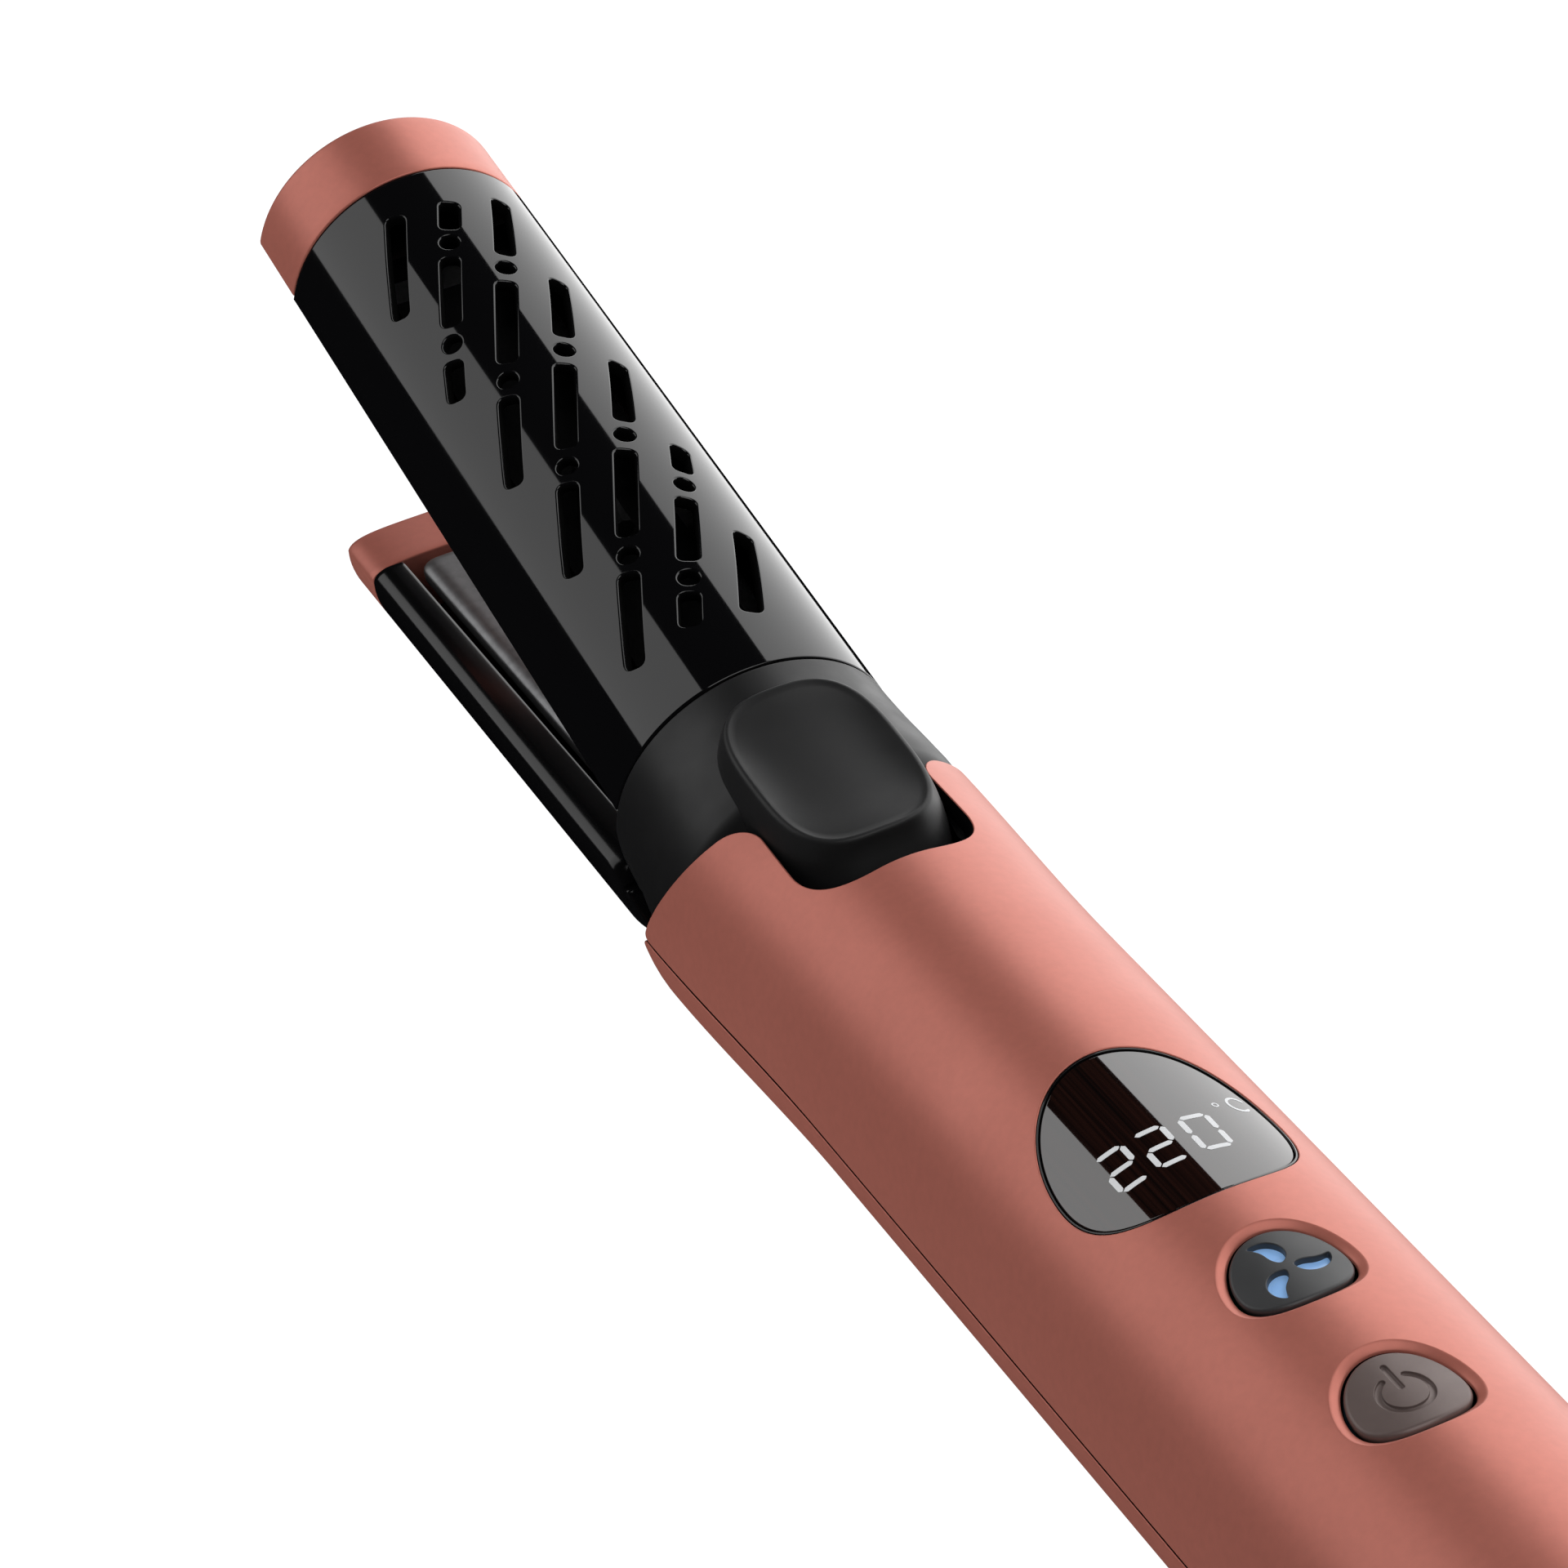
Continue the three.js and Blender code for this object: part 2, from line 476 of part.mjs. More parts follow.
function torsionSpring() {
  const [turns, coil, wire] = [5, 4.1, 0.55];
  const points = Array.from({ length: turns * 10 + 1 }, (_, i) => {
    const angle = (i / 10) * 2 * HALF_TURN;
    return new THREE.Vector3(coil * Math.cos(angle), (i / 10 - turns / 2) * 1.6, coil * Math.sin(angle));
  });
  const path = new THREE.CatmullRomCurve3(points);
  const section = new THREE.Shape().absarc(0, 0, wire, 0, 2 * HALF_TURN);
  const options = { steps: turns * 10, extrudePath: path, curveSegments: 3 };
  return solid(new THREE.ExtrudeGeometry(section, options).translate(HINGE_X, 0, 0));
}

function screw(x, y, z, length) {
  const head = rod('z', SCREW.head, z, z + SCREW.headHeight, [x, y], 3);
  const shank = rod('z', SCREW.shank, z + SCREW.headHeight - 0.2, z + length, [x, y], 3);
  const slot = block(x - 1.3, x + 1.3, y - 0.3, y + 0.3, z - 1, z + 0.7)
    .add(block(x - 0.3, x + 0.3, y - 1.3, y + 1.3, z - 1, z + 0.7));
  return cut(head.add(shank), slot);
}

// ---- Display and buttons --------------------------------------------------------------------
function skinPiece(outline, top, bottom, segments = 5) {
  return prism(outline, 'z', 5, FAR, segments)
    .intersect(turned([[-200, top], [-60, top]], SHELL_SEGMENTS))
    .subtract(turned([[-201, bottom], [-59, bottom]], SHELL_SEGMENTS));
}

function displayBezel() {
  const ring = skinPiece(plectrum(DISPLAY_SIZE, BEZEL.width, DISPLAY_X), HANDLE_RADIUS - 0.1, 16.2);
  const opening = prism(plectrum(DISPLAY_SIZE, FIT_GAP / 2, DISPLAY_X), 'z', 5, FAR, 5);
  const ledge = prism(plectrum(DISPLAY_SIZE, BEZEL.ledge, DISPLAY_X), 'z', 5, FAR, 5);
  return cut(ring, opening.subtract(turned([[-201, 17.6], [-59, 17.6]], SHELL_SEGMENTS)), ledge);
}

const displayLens = () => skinPiece(plectrum(DISPLAY_SIZE, -FIT_GAP / 2, DISPLAY_X), HANDLE_RADIUS - 0.3, 18);

function buttonBody(x) {
  const cap = skinPiece(plectrum(BUTTON_SIZE, 0, x), HANDLE_RADIUS - 0.4, 15.4, 4);
  const flange = prism(plectrum(BUTTON_SIZE, BUTTON_FLANGE, x), 'z', 14.6, 15.6, 4)
    .intersect(turned([[-200, 17.2], [-60, 17.2]], SHELL_SEGMENTS));
  const stemEnd = BOARD_TOP + SWITCH.top + BUTTON_TRAVEL + FIT_GAP;
  return cap.add(flange).add(rod('z', 2, stemEnd, 15, [x, 0], 3));
}

// One curved blade of the fan symbol, pointing away from the centre.
function bladeOutline() {
  const shape = new THREE.Shape().moveTo(0.5, 0.5);
  shape.bezierCurveTo(1.2, 1.9, 2.9, 2.3, 4.2, 1.2);
  shape.bezierCurveTo(3.3, 1.1, 2.4, 0.7, 2, -0.3);
  shape.bezierCurveTo(1.5, 0, 0.9, 0.2, 0.5, 0.5);
  return shape;
}

function fanButton() {
  const blades = union([0, 120, 240].map((degrees) => (
    prism(bladeOutline(), 'z', 16, FAR, 3).rotate([0, 0, degrees]).translate([FAN_BUTTON_X, 0, 0]))));
  const pocket = prism(plectrum(BUTTON_SIZE, -1, FAN_BUTTON_X), 'z', 15.9, 17.3, 4);
  const mouth = block(FAN_BUTTON_X - 1.5, FAN_BUTTON_X + 1.5, 2.4, 4.6, 14, 16);
  return cut(buttonBody(FAN_BUTTON_X), blades, pocket, mouth);
}

const fanButtonWindow = () => prism(plectrum(BUTTON_SIZE, -1.3, FAN_BUTTON_X), 'z', 16.2, 17, 4);

// ---- Fan and tail -----------------------------------------------------------------------------
function fanHousing() {
  const { rear, front, radius, bore } = FAN;
  const web = front - 2;
  const hollow = rod('x', bore, rear - 1, front + 2, [0, 0], 12);
  const ring = cut(rod('x', radius, rear, front, [0, 0], 12), hollow);
  const spokes = block(web, front, -16.4, 16.4, -1, 1).add(block(web, front, -1, 1, -16.4, 16.4));
  const seat = rod('x', MOTOR.seat, web - 1, front + 1, [0, 0], 6);
  const seatRing = cut(rod('x', 9, web, front, [0, 0], 6), seat);
  return ring.add(spokes.subtract(rod('x', 8, web - 1, front + 1, [0, 0], 6))).add(seatRing);
}

function impeller() {
  const hub = rod('x', FAN.hub, FAN.middle - 4, FAN.middle + 4, [0, 0], 5);
  const pitch = new THREE.Matrix4().makeShear(0, 0.5, 0, 0, 0, 0);
  const blade = new THREE.BoxGeometry(7, 9.2, 0.9).translate(0, 9.8, 0);
  blade.applyMatrix4(pitch).translate(FAN.middle, 0, 0);
  const blades = Array.from({ length: FAN.blades }, (_, i) => (
    solid(blade.clone()).rotate([i * 360 / FAN.blades, 0, 0])));
  const shaftHole = rod('x', MOTOR.shaft + FIT_GAP, FAN.rear, FAN.front, [0, 0], 4);
  return cut(union([hub, ...blades]), shaftHole);
}

function fanMotor() {
  const shaft = rod('x', MOTOR.shaft, FAN.middle - 3, MOTOR.rear + 1, [0, 0], 3);
  return rod('x', MOTOR.radius, MOTOR.rear, MOTOR.front, [0, 0], 8).add(shaft);
}

function airFilter() {
  const { radius, rear, front, hole, pitch } = FILTER;
  const holes = [];
  for (let ring = 1; ring <= 2; ring += 1) {
    for (let i = 0; i < ring * 6; i += 1) {
      const angle = (i / (ring * 6)) * 2 * HALF_TURN;
      const place = [pitch * ring * Math.cos(angle), pitch * ring * Math.sin(angle)];
      holes.push(rod('x', hole, rear - 1, front + 1, place, 3));
    }
  }
  return cut(rod('x', radius, rear, front, [0, 0], 10), ...holes);
}

function tailSlots() {
  const { count, rear, front, halfWidth } = TAIL_SLOT;
  const step = 360 / count;
  return Array.from({ length: count }, (_, i) => (
    block(rear, front, -halfWidth, halfWidth, 12, 25).rotate([(i + 0.5) * step, 0, 0])));
}

function tailCap() {
  const front = SHELL_END - FIT_GAP;
  const outer = [
    [TAIL_END, 11], [TAIL_END + 1, 13], [-208, 16.6], [-200, 19], [-195, 19.7], [front, HANDLE_RADIUS],
  ];
  const inner = [[TAIL_END + 2.4, 9], [-208, 14.4], [-200, 16.8], [-190, 17.6]];
  const flat = block(-300, 0, -FAR, FAR, UNDERSIDE, FAR);
  const spigot = cut(turned([[-196, 17.4], [-187, 17.4]], 24), turned([[-197, 16.8], [-186, 16.8]], 24))
    .intersect(block(-300, 0, -FAR, FAR, UNDERSIDE + SHELL_WALL + FIT_GAP, FAR));
  const shell = cut(turned(outer).intersect(flat), turned(inner)).add(spigot);
  return cut(shell, ...tailSlots(), rod('x', GLAND.opening, GLAND_END, -200, [0, 0], 8));
}

function cordGland() {
  const { radius, flange, bore } = GLAND;
  const outer = [
    [GLAND_END, 3.6], [GLAND_END + 1, 4.2], [-213, radius],
    [-210.8, radius], [-210.8, flange], [-208.6, flange], [-208.6, radius], [-205, radius],
  ];
  return cut(turned(outer, 24), rod('x', bore, GLAND_END - 10, -200, [0, 0], 5));
}

function swivelRetainer() {
  const [from, to] = [-208.2, -206.6];
  const bore = rod('x', GLAND.opening, from - 1, to + 1, [0, 0], 8);
  const ring = cut(rod('x', 8.2, from, to, [0, 0], 8), bore);
  const tabs = [45, 135, 225, 315].map((degrees) => (
    block(from, to, 8, 12, -1.2, 1.2).rotate([degrees, 0, 0])));
  return ring.add(union(tabs));
}

// ---- Assembly -----------------------------------------------------------------------------
const iron = new THREE.Group();
const handle = new THREE.Group();
const upperArm = new THREE.Group();
upperArm.position.set(HINGE_X, 0, 0);
upperArm.rotation.y = -THREE.MathUtils.degToRad(OPEN_DEG);
handle.add(upperArm);
iron.add(handle);

function place(group, name, body, material) {
  const mesh = new THREE.Mesh(geometryOf(body), material);
  mesh.name = name;
  group.add(mesh);
}

place(handle, 'upper_shell', upperShell(), ROSE);
place(handle, 'lower_shell', lowerShell(), ROSE);
place(handle, 'lower_arm_housing', lowerArmHousing(), BLACK_GLOSS);
place(handle, 'lower_arm_tip_cap', lowerArmTipCap(), ROSE);
place(handle, 'lower_plate', lowerPlate(), PLATE_COAT);
const lowerHeater = block(16, 76, -HEATER_HALF_WIDTH, HEATER_HALF_WIDTH, -4.5, -2.6);
place(handle, 'lower_heater', lowerHeater, CERAMIC);
place(handle, 'lower_heater_clip', heaterClip(14, 78, -6.1, -2.7), ALUMINIUM);
PAD_STATIONS.forEach((x, i) => {
  const pad = block(x - 3, x + 3, -5, 5, CHANNEL.padSeat + FIT_GAP, -6.4);
  place(handle, ['plate_pad_rear', 'plate_pad_front'][i], pad, SILICONE);
});
place(handle, 'hinge_pin', rod('y', PIN.radius, -PIN.halfLength, PIN.halfLength, [0, HINGE_X], 6), STEEL);
place(handle, 'hinge_bracket', hingeBracket(), STEEL);
place(handle, 'arm_spring', torsionSpring(), STEEL);
place(handle, 'display_bezel', displayBezel(), BLACK_GLOSS);
place(handle, 'display_lens', displayLens(), LENS_GLASS);
place(handle, 'display_module', block(-109, -95, -7.5, 7.5, BOARD_TOP + FIT_GAP, 14.6), BLACK_SATIN);
const controlBoard = block(-160, -87, -12, 12, BOARD_TOP - BOARD_THICKNESS, BOARD_TOP);
place(handle, 'control_board', controlBoard, BOARD_GREEN);
place(handle, 'power_board', block(-150, -70, -12, 12, -8, -8 + BOARD_THICKNESS), BOARD_GREEN);
for (const [name, x] of [['fan_switch', FAN_BUTTON_X], ['power_switch', POWER_BUTTON_X]]) {
  const { half, height, stem, top } = SWITCH;
  const body = block(x - half, x + half, -half, half, BOARD_TOP + FIT_GAP, BOARD_TOP + height);
  const plunger = rod('z', stem, BOARD_TOP + height - 0.2, BOARD_TOP + top, [x, 0], 3);
  place(handle, name, body.add(plunger), BLACK_SATIN);
}
place(handle, 'fan_button', fanButton(), BUTTON_GREY);
place(handle, 'fan_button_window', fanButtonWindow(), WINDOW_BLUE);
place(handle, 'power_button', buttonBody(POWER_BUTTON_X), BUTTON_TAUPE);
place(handle, 'fan_housing', fanHousing(), NATURAL_NYLON);
place(handle, 'fan_motor', fanMotor(), STEEL);
place(handle, 'impeller', impeller(), BLACK_SATIN);
place(handle, 'air_filter', airFilter(), FILTER_MESH);
place(handle, 'tail_cap', tailCap(), BLACK_SATIN);
place(handle, 'cord_gland', cordGland(), BLACK_SATIN);
place(handle, 'swivel_retainer', swivelRetainer(), STEEL);
SCREW_PLACES.forEach(([x, y], i) => place(handle, `shell_screw_${i + 1}`, screw(x, y, -9.8, 15), STEEL));

place(upperArm, 'barrel_shell', barrelShell(), BLACK_GLOSS);
place(upperArm, 'barrel_tip_cap', barrelTipCap(), ROSE);
place(upperArm, 'barrel_base', barrelBase(), BLACK_GLOSS);
const { from: plateFrom, to: plateTo, thickness: plateThickness } = UPPER_PLATE;
const barrelPlate = block(plateFrom, plateTo, -PLATE_HALF_WIDTH, PLATE_HALF_WIDTH, 0, plateThickness);
const barrelHeater = block(52, 120, -HEATER_HALF_WIDTH, HEATER_HALF_WIDTH, 2.3, 4.3);
const barrelClip = heaterClip(50, 122, 0, 3.4).rotate([180, 0, 0]).translate([0, 0, 5.9]);
place(upperArm, 'barrel_plate', barrelPlate, PLATE_COAT);
place(upperArm, 'barrel_heater', barrelHeater, CERAMIC);
place(upperArm, 'barrel_heater_clip', barrelClip, ALUMINIUM);
place(upperArm, 'thermal_fuse', rod('x', 1.5, 70, 82, [0, 7.8], 4), STEEL);
place(upperArm, 'collar', collar(), BLACK_SATIN);
place(upperArm, 'thumb_pad', thumbPad(), BLACK_SATIN);
COLLAR_SCREWS.places.forEach((y, i) => {
  const { x, bottom, length } = COLLAR_SCREWS;
  place(upperArm, `collar_screw_${i + 1}`, screw(x, y, bottom, length), STEEL);
});

// The origin is the middle of the bounding box, on the surface that the iron lies on.
iron.updateMatrixWorld(true);
const box = new THREE.Box3().setFromObject(iron);
handle.position.set(-(box.min.x + box.max.x) / 2, 0, -UNDERSIDE);

export default iron;
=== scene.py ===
"""Looks of the airflow curling iron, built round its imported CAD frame.

Shapes are worked out in millimetres in two frames. HANDLE has its X axis along the round handle and
x = 0 where the barrel meets its collar. ARM is the swinging barrel's frame: its origin is the hinge
pin and its X axis runs along the barrel.
"""
import json
import math

import bmesh
import bpy
import numpy as np
from mathutils import Matrix, Vector
from mathutils.geometry import delaunay_2d_cdt

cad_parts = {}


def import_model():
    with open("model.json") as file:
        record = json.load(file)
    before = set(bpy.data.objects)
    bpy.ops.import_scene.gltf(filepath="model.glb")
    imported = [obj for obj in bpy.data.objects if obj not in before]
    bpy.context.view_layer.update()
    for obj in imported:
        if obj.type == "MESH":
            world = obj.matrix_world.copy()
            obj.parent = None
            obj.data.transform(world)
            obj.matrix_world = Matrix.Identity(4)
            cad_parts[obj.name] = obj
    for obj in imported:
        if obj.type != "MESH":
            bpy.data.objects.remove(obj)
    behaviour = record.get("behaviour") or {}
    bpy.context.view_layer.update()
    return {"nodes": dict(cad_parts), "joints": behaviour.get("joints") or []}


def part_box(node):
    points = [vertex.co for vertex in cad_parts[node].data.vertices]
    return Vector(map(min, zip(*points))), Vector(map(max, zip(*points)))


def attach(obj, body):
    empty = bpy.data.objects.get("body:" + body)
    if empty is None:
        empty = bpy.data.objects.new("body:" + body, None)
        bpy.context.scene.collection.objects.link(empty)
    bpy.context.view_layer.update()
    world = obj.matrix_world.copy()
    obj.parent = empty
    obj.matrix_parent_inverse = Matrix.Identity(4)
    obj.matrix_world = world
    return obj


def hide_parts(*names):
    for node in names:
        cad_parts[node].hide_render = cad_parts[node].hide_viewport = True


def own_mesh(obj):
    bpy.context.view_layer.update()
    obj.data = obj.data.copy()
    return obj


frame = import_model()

# ---- Frames ----
MM = 0.001
PIN_BEHIND_COLLAR = 34.0
pin_low, pin_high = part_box("hinge_pin")
PIN = (pin_low + pin_high) / 2
joints = {joint["name"]: joint for joint in frame["joints"]}
OPEN_ANGLE = math.radians(joints["arm_hinge"]["range_deg"][1])
HANDLE = (Matrix.Translation(PIN) @ Matrix.Scale(MM, 4)
          @ Matrix.Translation((PIN_BEHIND_COLLAR, 0, 0)))
ARM = Matrix.Translation(PIN) @ Matrix.Rotation(-OPEN_ANGLE, 4, "Y") @ Matrix.Scale(MM, 4)

# ---- Driving dimensions, in millimetres ----
HANDLE_RADIUS = 19.8
SWELL = 1.0               # the handle swells by this towards its mouth
TURN_IN = 3.0             # and then turns in to the lip
UNDERSIDE = -19.3
SEAM_Z = -1.2
SEAM_GAP = 0.62
SHELL_END = -190.0
SHELL_WALL = 1.9
RUN_GAP = 0.25
LIP_WALL = 0.6            # thin enough for the collar to turn inside
MOUTH = [(18.0, -24.2), (14.7, -22.0), (7.0, -17.2), (0.0, -12.5), (-8.3, -6.0), (-14.0, -3.0), (-20.8, -2.0)]
NOTCH_HALF_WIDTH = 10.6
NOTCH_REAR = -44.0
NOTCH_CORNER = 7.5
NOTCH_LOBE = 4.2          # rounding of the shell's front beside the notch
SEAM_CORNER = 1.4
SEAM_FRONT_X = -12.5
FULL_TURN = 2 * math.pi * HANDLE_RADIUS
SCREWS = [(x, y) for x in (-64, -163.6) for y in (-11, 11)]

COLLAR_FRONT = 34.5
AXIS_Z = -2.2             # barrel axis below the pin, in the arm frame
BARREL_RADIUS = 18.0
BARREL_TAPER = 0.0114
BARREL_LENGTH = 100.0
BARREL_WALL = 1.6
BARREL_FLAT = 3.0         # the barrel's flat side, above its axis
CAP_LENGTH = 12.2
PLATE_HALF_WIDTH = 11.3
BARREL_PLATE = (42, 130)
LOWER_PLATE = (9.75, 82.25)
PLATE_PADS = {"plate_pad_rear": 20, "plate_pad_front": 70}
FIT = 0.3

DISPLAY = {"x": -101.7, "length": 27.1, "width": 26.5}
FAN = {"x": -129.1, "length": 11.6, "width": 12.8}
POWER = {"x": -151.6, "length": 11.6, "width": 12.8}


# ---- Small maths ----
def smoothstep(value, low, high):
    t = np.clip((np.asarray(value, float) - low) / (high - low), 0, 1)
    return t * t * (3 - 2 * t)


def smooth_max(a, b, softness):
    return (a + b + np.sqrt((a - b) ** 2 + softness ** 2)) / 2


def curve_through(points, value):
    """Smooth curve through (t, f) points, with t falling or rising steadily."""
    points = sorted(points)
    t = np.array([p[0] for p in points])
    f = np.array([p[1] for p in points])
    slope = np.gradient(f, t)
    value = np.clip(np.asarray(value, float), t[0], t[-1])
    i = np.clip(np.searchsorted(t, value) - 1, 0, len(t) - 2)
    width = t[i + 1] - t[i]
    u = (value - t[i]) / width
    a = (1 + 2 * u) * (1 - u) ** 2
    b = u * (1 - u) ** 2
    c = u * u * (3 - 2 * u)
    d = u * u * (u - 1)
    return a * f[i] + b * width * slope[i] + c * f[i + 1] + d * width * slope[i + 1]


def line(start, end, step=0.8):
    start, end = np.array(start, float), np.array(end, float)
    count = max(2, int(np.linalg.norm(end - start) / step) + 1)
    return start + (end - start) * np.linspace(0, 1, count)[:, None]


def corner(before, tip, after, count=12):
    """Rounded corner from before to after, as one curve pulled towards the tip."""
    before, tip, after = (np.array(p, float) for p in (before, tip, after))
    pull = 0.6
    a, b = before + (tip - before) * pull, after + (tip - after) * pull
    return bezier(before, a, b, after, count)


def bezier(p0, p1, p2, p3, count=14):
    p0, p1, p2, p3 = (np.array(p, float) for p in (p0, p1, p2, p3))
    t = np.linspace(0, 1, count)[:, None]
    return (1 - t) ** 3 * p0 + 3 * (1 - t) ** 2 * t * p1 + 3 * (1 - t) * t ** 2 * p2 + t ** 3 * p3


def arc(centre, radius, start_deg, end_deg, count):
    angle = np.radians(np.linspace(start_deg, end_deg, count))
    return np.stack([centre[0] + radius * np.cos(angle), centre[1] + radius * np.sin(angle)], 1)


def joined(*pieces, closed=True):
    points = np.concatenate(pieces)
    keep = [0]
    for i in range(1, len(points)):
        if np.linalg.norm(points[i] - points[keep[-1]]) > 0.02:
            keep.append(i)
    if closed and np.linalg.norm(points[keep[-1]] - points[0]) < 0.02:
        keep.pop()
    return points[keep]


def area(loop):
    x, y = loop[:, 0], loop[:, 1]
    return (x * np.roll(y, -1) - np.roll(x, -1) * y).sum() / 2


def resampled(loop, step):
    closed = np.vstack([loop, loop[:1]])
    length = np.concatenate([[0], np.cumsum(np.linalg.norm(np.diff(closed, axis=0), axis=1))])
    count = max(12, int(length[-1] / step))
    at = np.linspace(0, length[-1], count, endpoint=False)
    return np.stack([np.interp(at, length, closed[:, k]) for k in (0, 1)], 1)


def offset_loop(loop, distance):
    """Moves each point to its left, which is into the material."""
    tangent = np.roll(loop, -1, 0) - np.roll(loop, 1, 0)
    normal = np.stack([-tangent[:, 1], tangent[:, 0]], 1)
    normal /= np.linalg.norm(normal, axis=1)[:, None] + 1e-12
    return loop + distance * normal


def inside(points, loop):
    x, y = points[:, 0][:, None], points[:, 1][:, None]
    x0, y0 = loop[:, 0], loop[:, 1]
    x1, y1 = np.roll(x0, -1), np.roll(y0, -1)
    crosses = (y0 > y) != (y1 > y)
    with np.errstate(divide="ignore", invalid="ignore"):
        at = x0 + (y - y0) * (x1 - x0) / (y1 - y0)
    return (crosses & (x < at)).sum(1) % 2 == 1


def within(points, loops):
    """Which points are inside the first loop and outside the others."""
    keep = inside(points, loops[0])
    for hole in loops[1:]:
        keep &= ~inside(points, hole)
    return keep


# ---- Outlines, in the unrolled surface (along, round) ----
def plectrum(part, grow=0.0, step=0.45):
    """Round towards the tip, nearly straight at the rear."""
    a, b, x = part["length"] / 2 + grow, part["width"] / 2 + grow, part["x"]
    half = joined(
        bezier((x + a, 0), (x + a, 0.6 * b), (x + 0.36 * a, b), (x - 0.24 * a, b), 30),
        bezier((x - 0.24 * a, b), (x - 0.75 * a, b), (x - a, 0.62 * b), (x - a, 0), 24), closed=False)
    loop = joined(half, half[::-1] * [1, -1])
    return resampled(loop, step)


def bar_outline(length, width, radius, step=0.4):
    a, b = length / 2, width / 2
    radius = min(radius, a - 0.01, b - 0.01)
    loop = joined(*[
        arc((sx * (a - radius), sy * (b - radius)), radius, start, start + 90, 6)
        for sx, sy, start in ((1, -1, -90), (1, 1, 0), (-1, 1, 90), (-1, -1, 180))])
    return resampled(loop, step)


def turned_and_placed(loop, degrees, place):
    c, s = math.cos(math.radians(degrees)), math.sin(math.radians(degrees))
    return loop @ np.array([[c, s], [-s, c]]) + np.array(place)


def strip(there, back, step=0.8):
    """Outline that runs along one edge and back along another."""
    return joined(there, line(there[-1], back[0], step), back, line(back[-1], there[0], step))


def round_body(p, radius, unrolled=HANDLE_RADIUS, centre_z=0.0):
    """Places (along, round) points about the X axis."""
    angle = p[:, 1] / unrolled
    return np.column_stack([p[:, 0], radius * np.sin(angle), centre_z + radius * np.cos(angle)])


def flat_below(points, height, softness):
    points[:, 2] = smooth_max(points[:, 2], height, softness)
    return points


# ---- Mesh making ----
class Build:
    """Gathers vertices, faces and exact normals, and turns them into one Blender object."""

    def __init__(self):
        self.points, self.normals, self.faces, self.count = [], [], [], 0
        self.shade_faces = []

    def add(self, points, normals=None):
        points = np.asarray(points, float)
        first = self.count
        self.points.append(points)
        self.normals.append(np.zeros_like(points) if normals is None else normals)
        self.count += len(points)
        return first

    def ring_faces(self, first, second, count):
        for i in range(count):
            j = (i + 1) % count
            self.faces.append((first + i, first + j, second + j, second + i))

    def piece(self, name, placing, material, body, replaces, slot, sharp_deg=32):
        mesh = bpy.data.meshes.new(name)
        points = np.concatenate(self.points)
        mesh.from_pydata(points.tolist(), [], self.faces)
        # Listed faces take the near-black inside material, which is partly painted shade for gaps and hole
        # walls.
        for face in self.shade_faces:
            mesh.polygons[face].material_index = 1
        mesh.transform(placing)
        mesh.validate()
        tidy = bmesh.new()
        tidy.from_mesh(mesh)
        bmesh.ops.recalc_face_normals(tidy, faces=tidy.faces)
        tidy.to_mesh(mesh)
        tidy.free()
        mesh.shade_smooth()
        mesh.set_sharp_from_angle(angle=math.radians(sharp_deg))
        normals = np.concatenate(self.normals)
        if np.abs(normals).sum() > 0 and len(mesh.vertices) == len(normals):
            turn = np.array(placing.to_3x3().normalized())
            mesh.normals_split_custom_set_from_vertices((normals @ turn.T).tolist())
        piece = bpy.data.objects.new(name, mesh)
        bpy.context.scene.collection.objects.link(piece)
        mesh.materials.append(material)
        if self.shade_faces:
            mesh.materials.append(BLACK_INSIDE_AND_SHADE)
        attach(piece, body)
        if replaces:
            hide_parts(replaces)
        return piece


class Surface:
    """A base surface over (along, round); depth is measured inwards along its normal."""

    def __init__(self, place):
        self.place = place

    def normal(self, p):
        step = 0.02
        dx = self.place(p + [step, 0]) - self.place(p - [step, 0])
        ds = self.place(p + [0, step]) - self.place(p - [0, step])
        n = np.cross(dx, ds)
        return n / np.linalg.norm(n, axis=1)[:, None]

    def at(self, p, depth):
        return self.place(p) - np.asarray(depth, float).reshape(-1, 1) * self.normal(p)


def triangles_between(loops, spacing, margin):
    """Triangulates the region inside the first loop and outside the others."""
    low, high = loops[0].min(0), loops[0].max(0)
    xs = np.arange(low[0] + spacing[0] / 2, high[0], spacing[0])
    ys = np.arange(low[1] + spacing[1] / 2, high[1], spacing[1])
    grid = np.array([(x, y) for x in xs for y in ys]).reshape(-1, 2)
    grid = grid[within(grid, loops)]
    edge = np.concatenate(loops)
    near = np.ones(len(grid), bool)
    for start in range(0, len(grid), 2000):
        block = grid[start:start + 2000]
        gap = ((block[:, None, :] - edge[None, :, :]) ** 2).sum(2).min(1)
        near[start:start + 2000] = gap > margin ** 2
    grid = grid[near]
    points = np.concatenate([edge, grid])
    edges, first = [], 0
    for loop in loops:
        edges += [(first + i, first + (i + 1) % len(loop)) for i in range(len(loop))]
        first += len(loop)
    out = delaunay_2d_cdt([Vector(p) for p in points], edges, [], 0, 1e-6)
    assert len(out[0]) == len(points), "an outline crosses itself or another one"
    faces = np.array(out[2])
    return grid, faces[within(points[faces].mean(1), loops)]


def rounded_edge(radius, wall, steps=4, inner=0.2):
    """Edge section as (distance into the material, depth), from the face down to the inner face."""
    t = np.linspace(0, math.pi / 2, steps + 1)
    section = [(radius * (1 - math.sin(a)), radius * (1 - math.cos(a))) for a in t]
    return section + [(0.0, wall - inner), (inner, wall)]


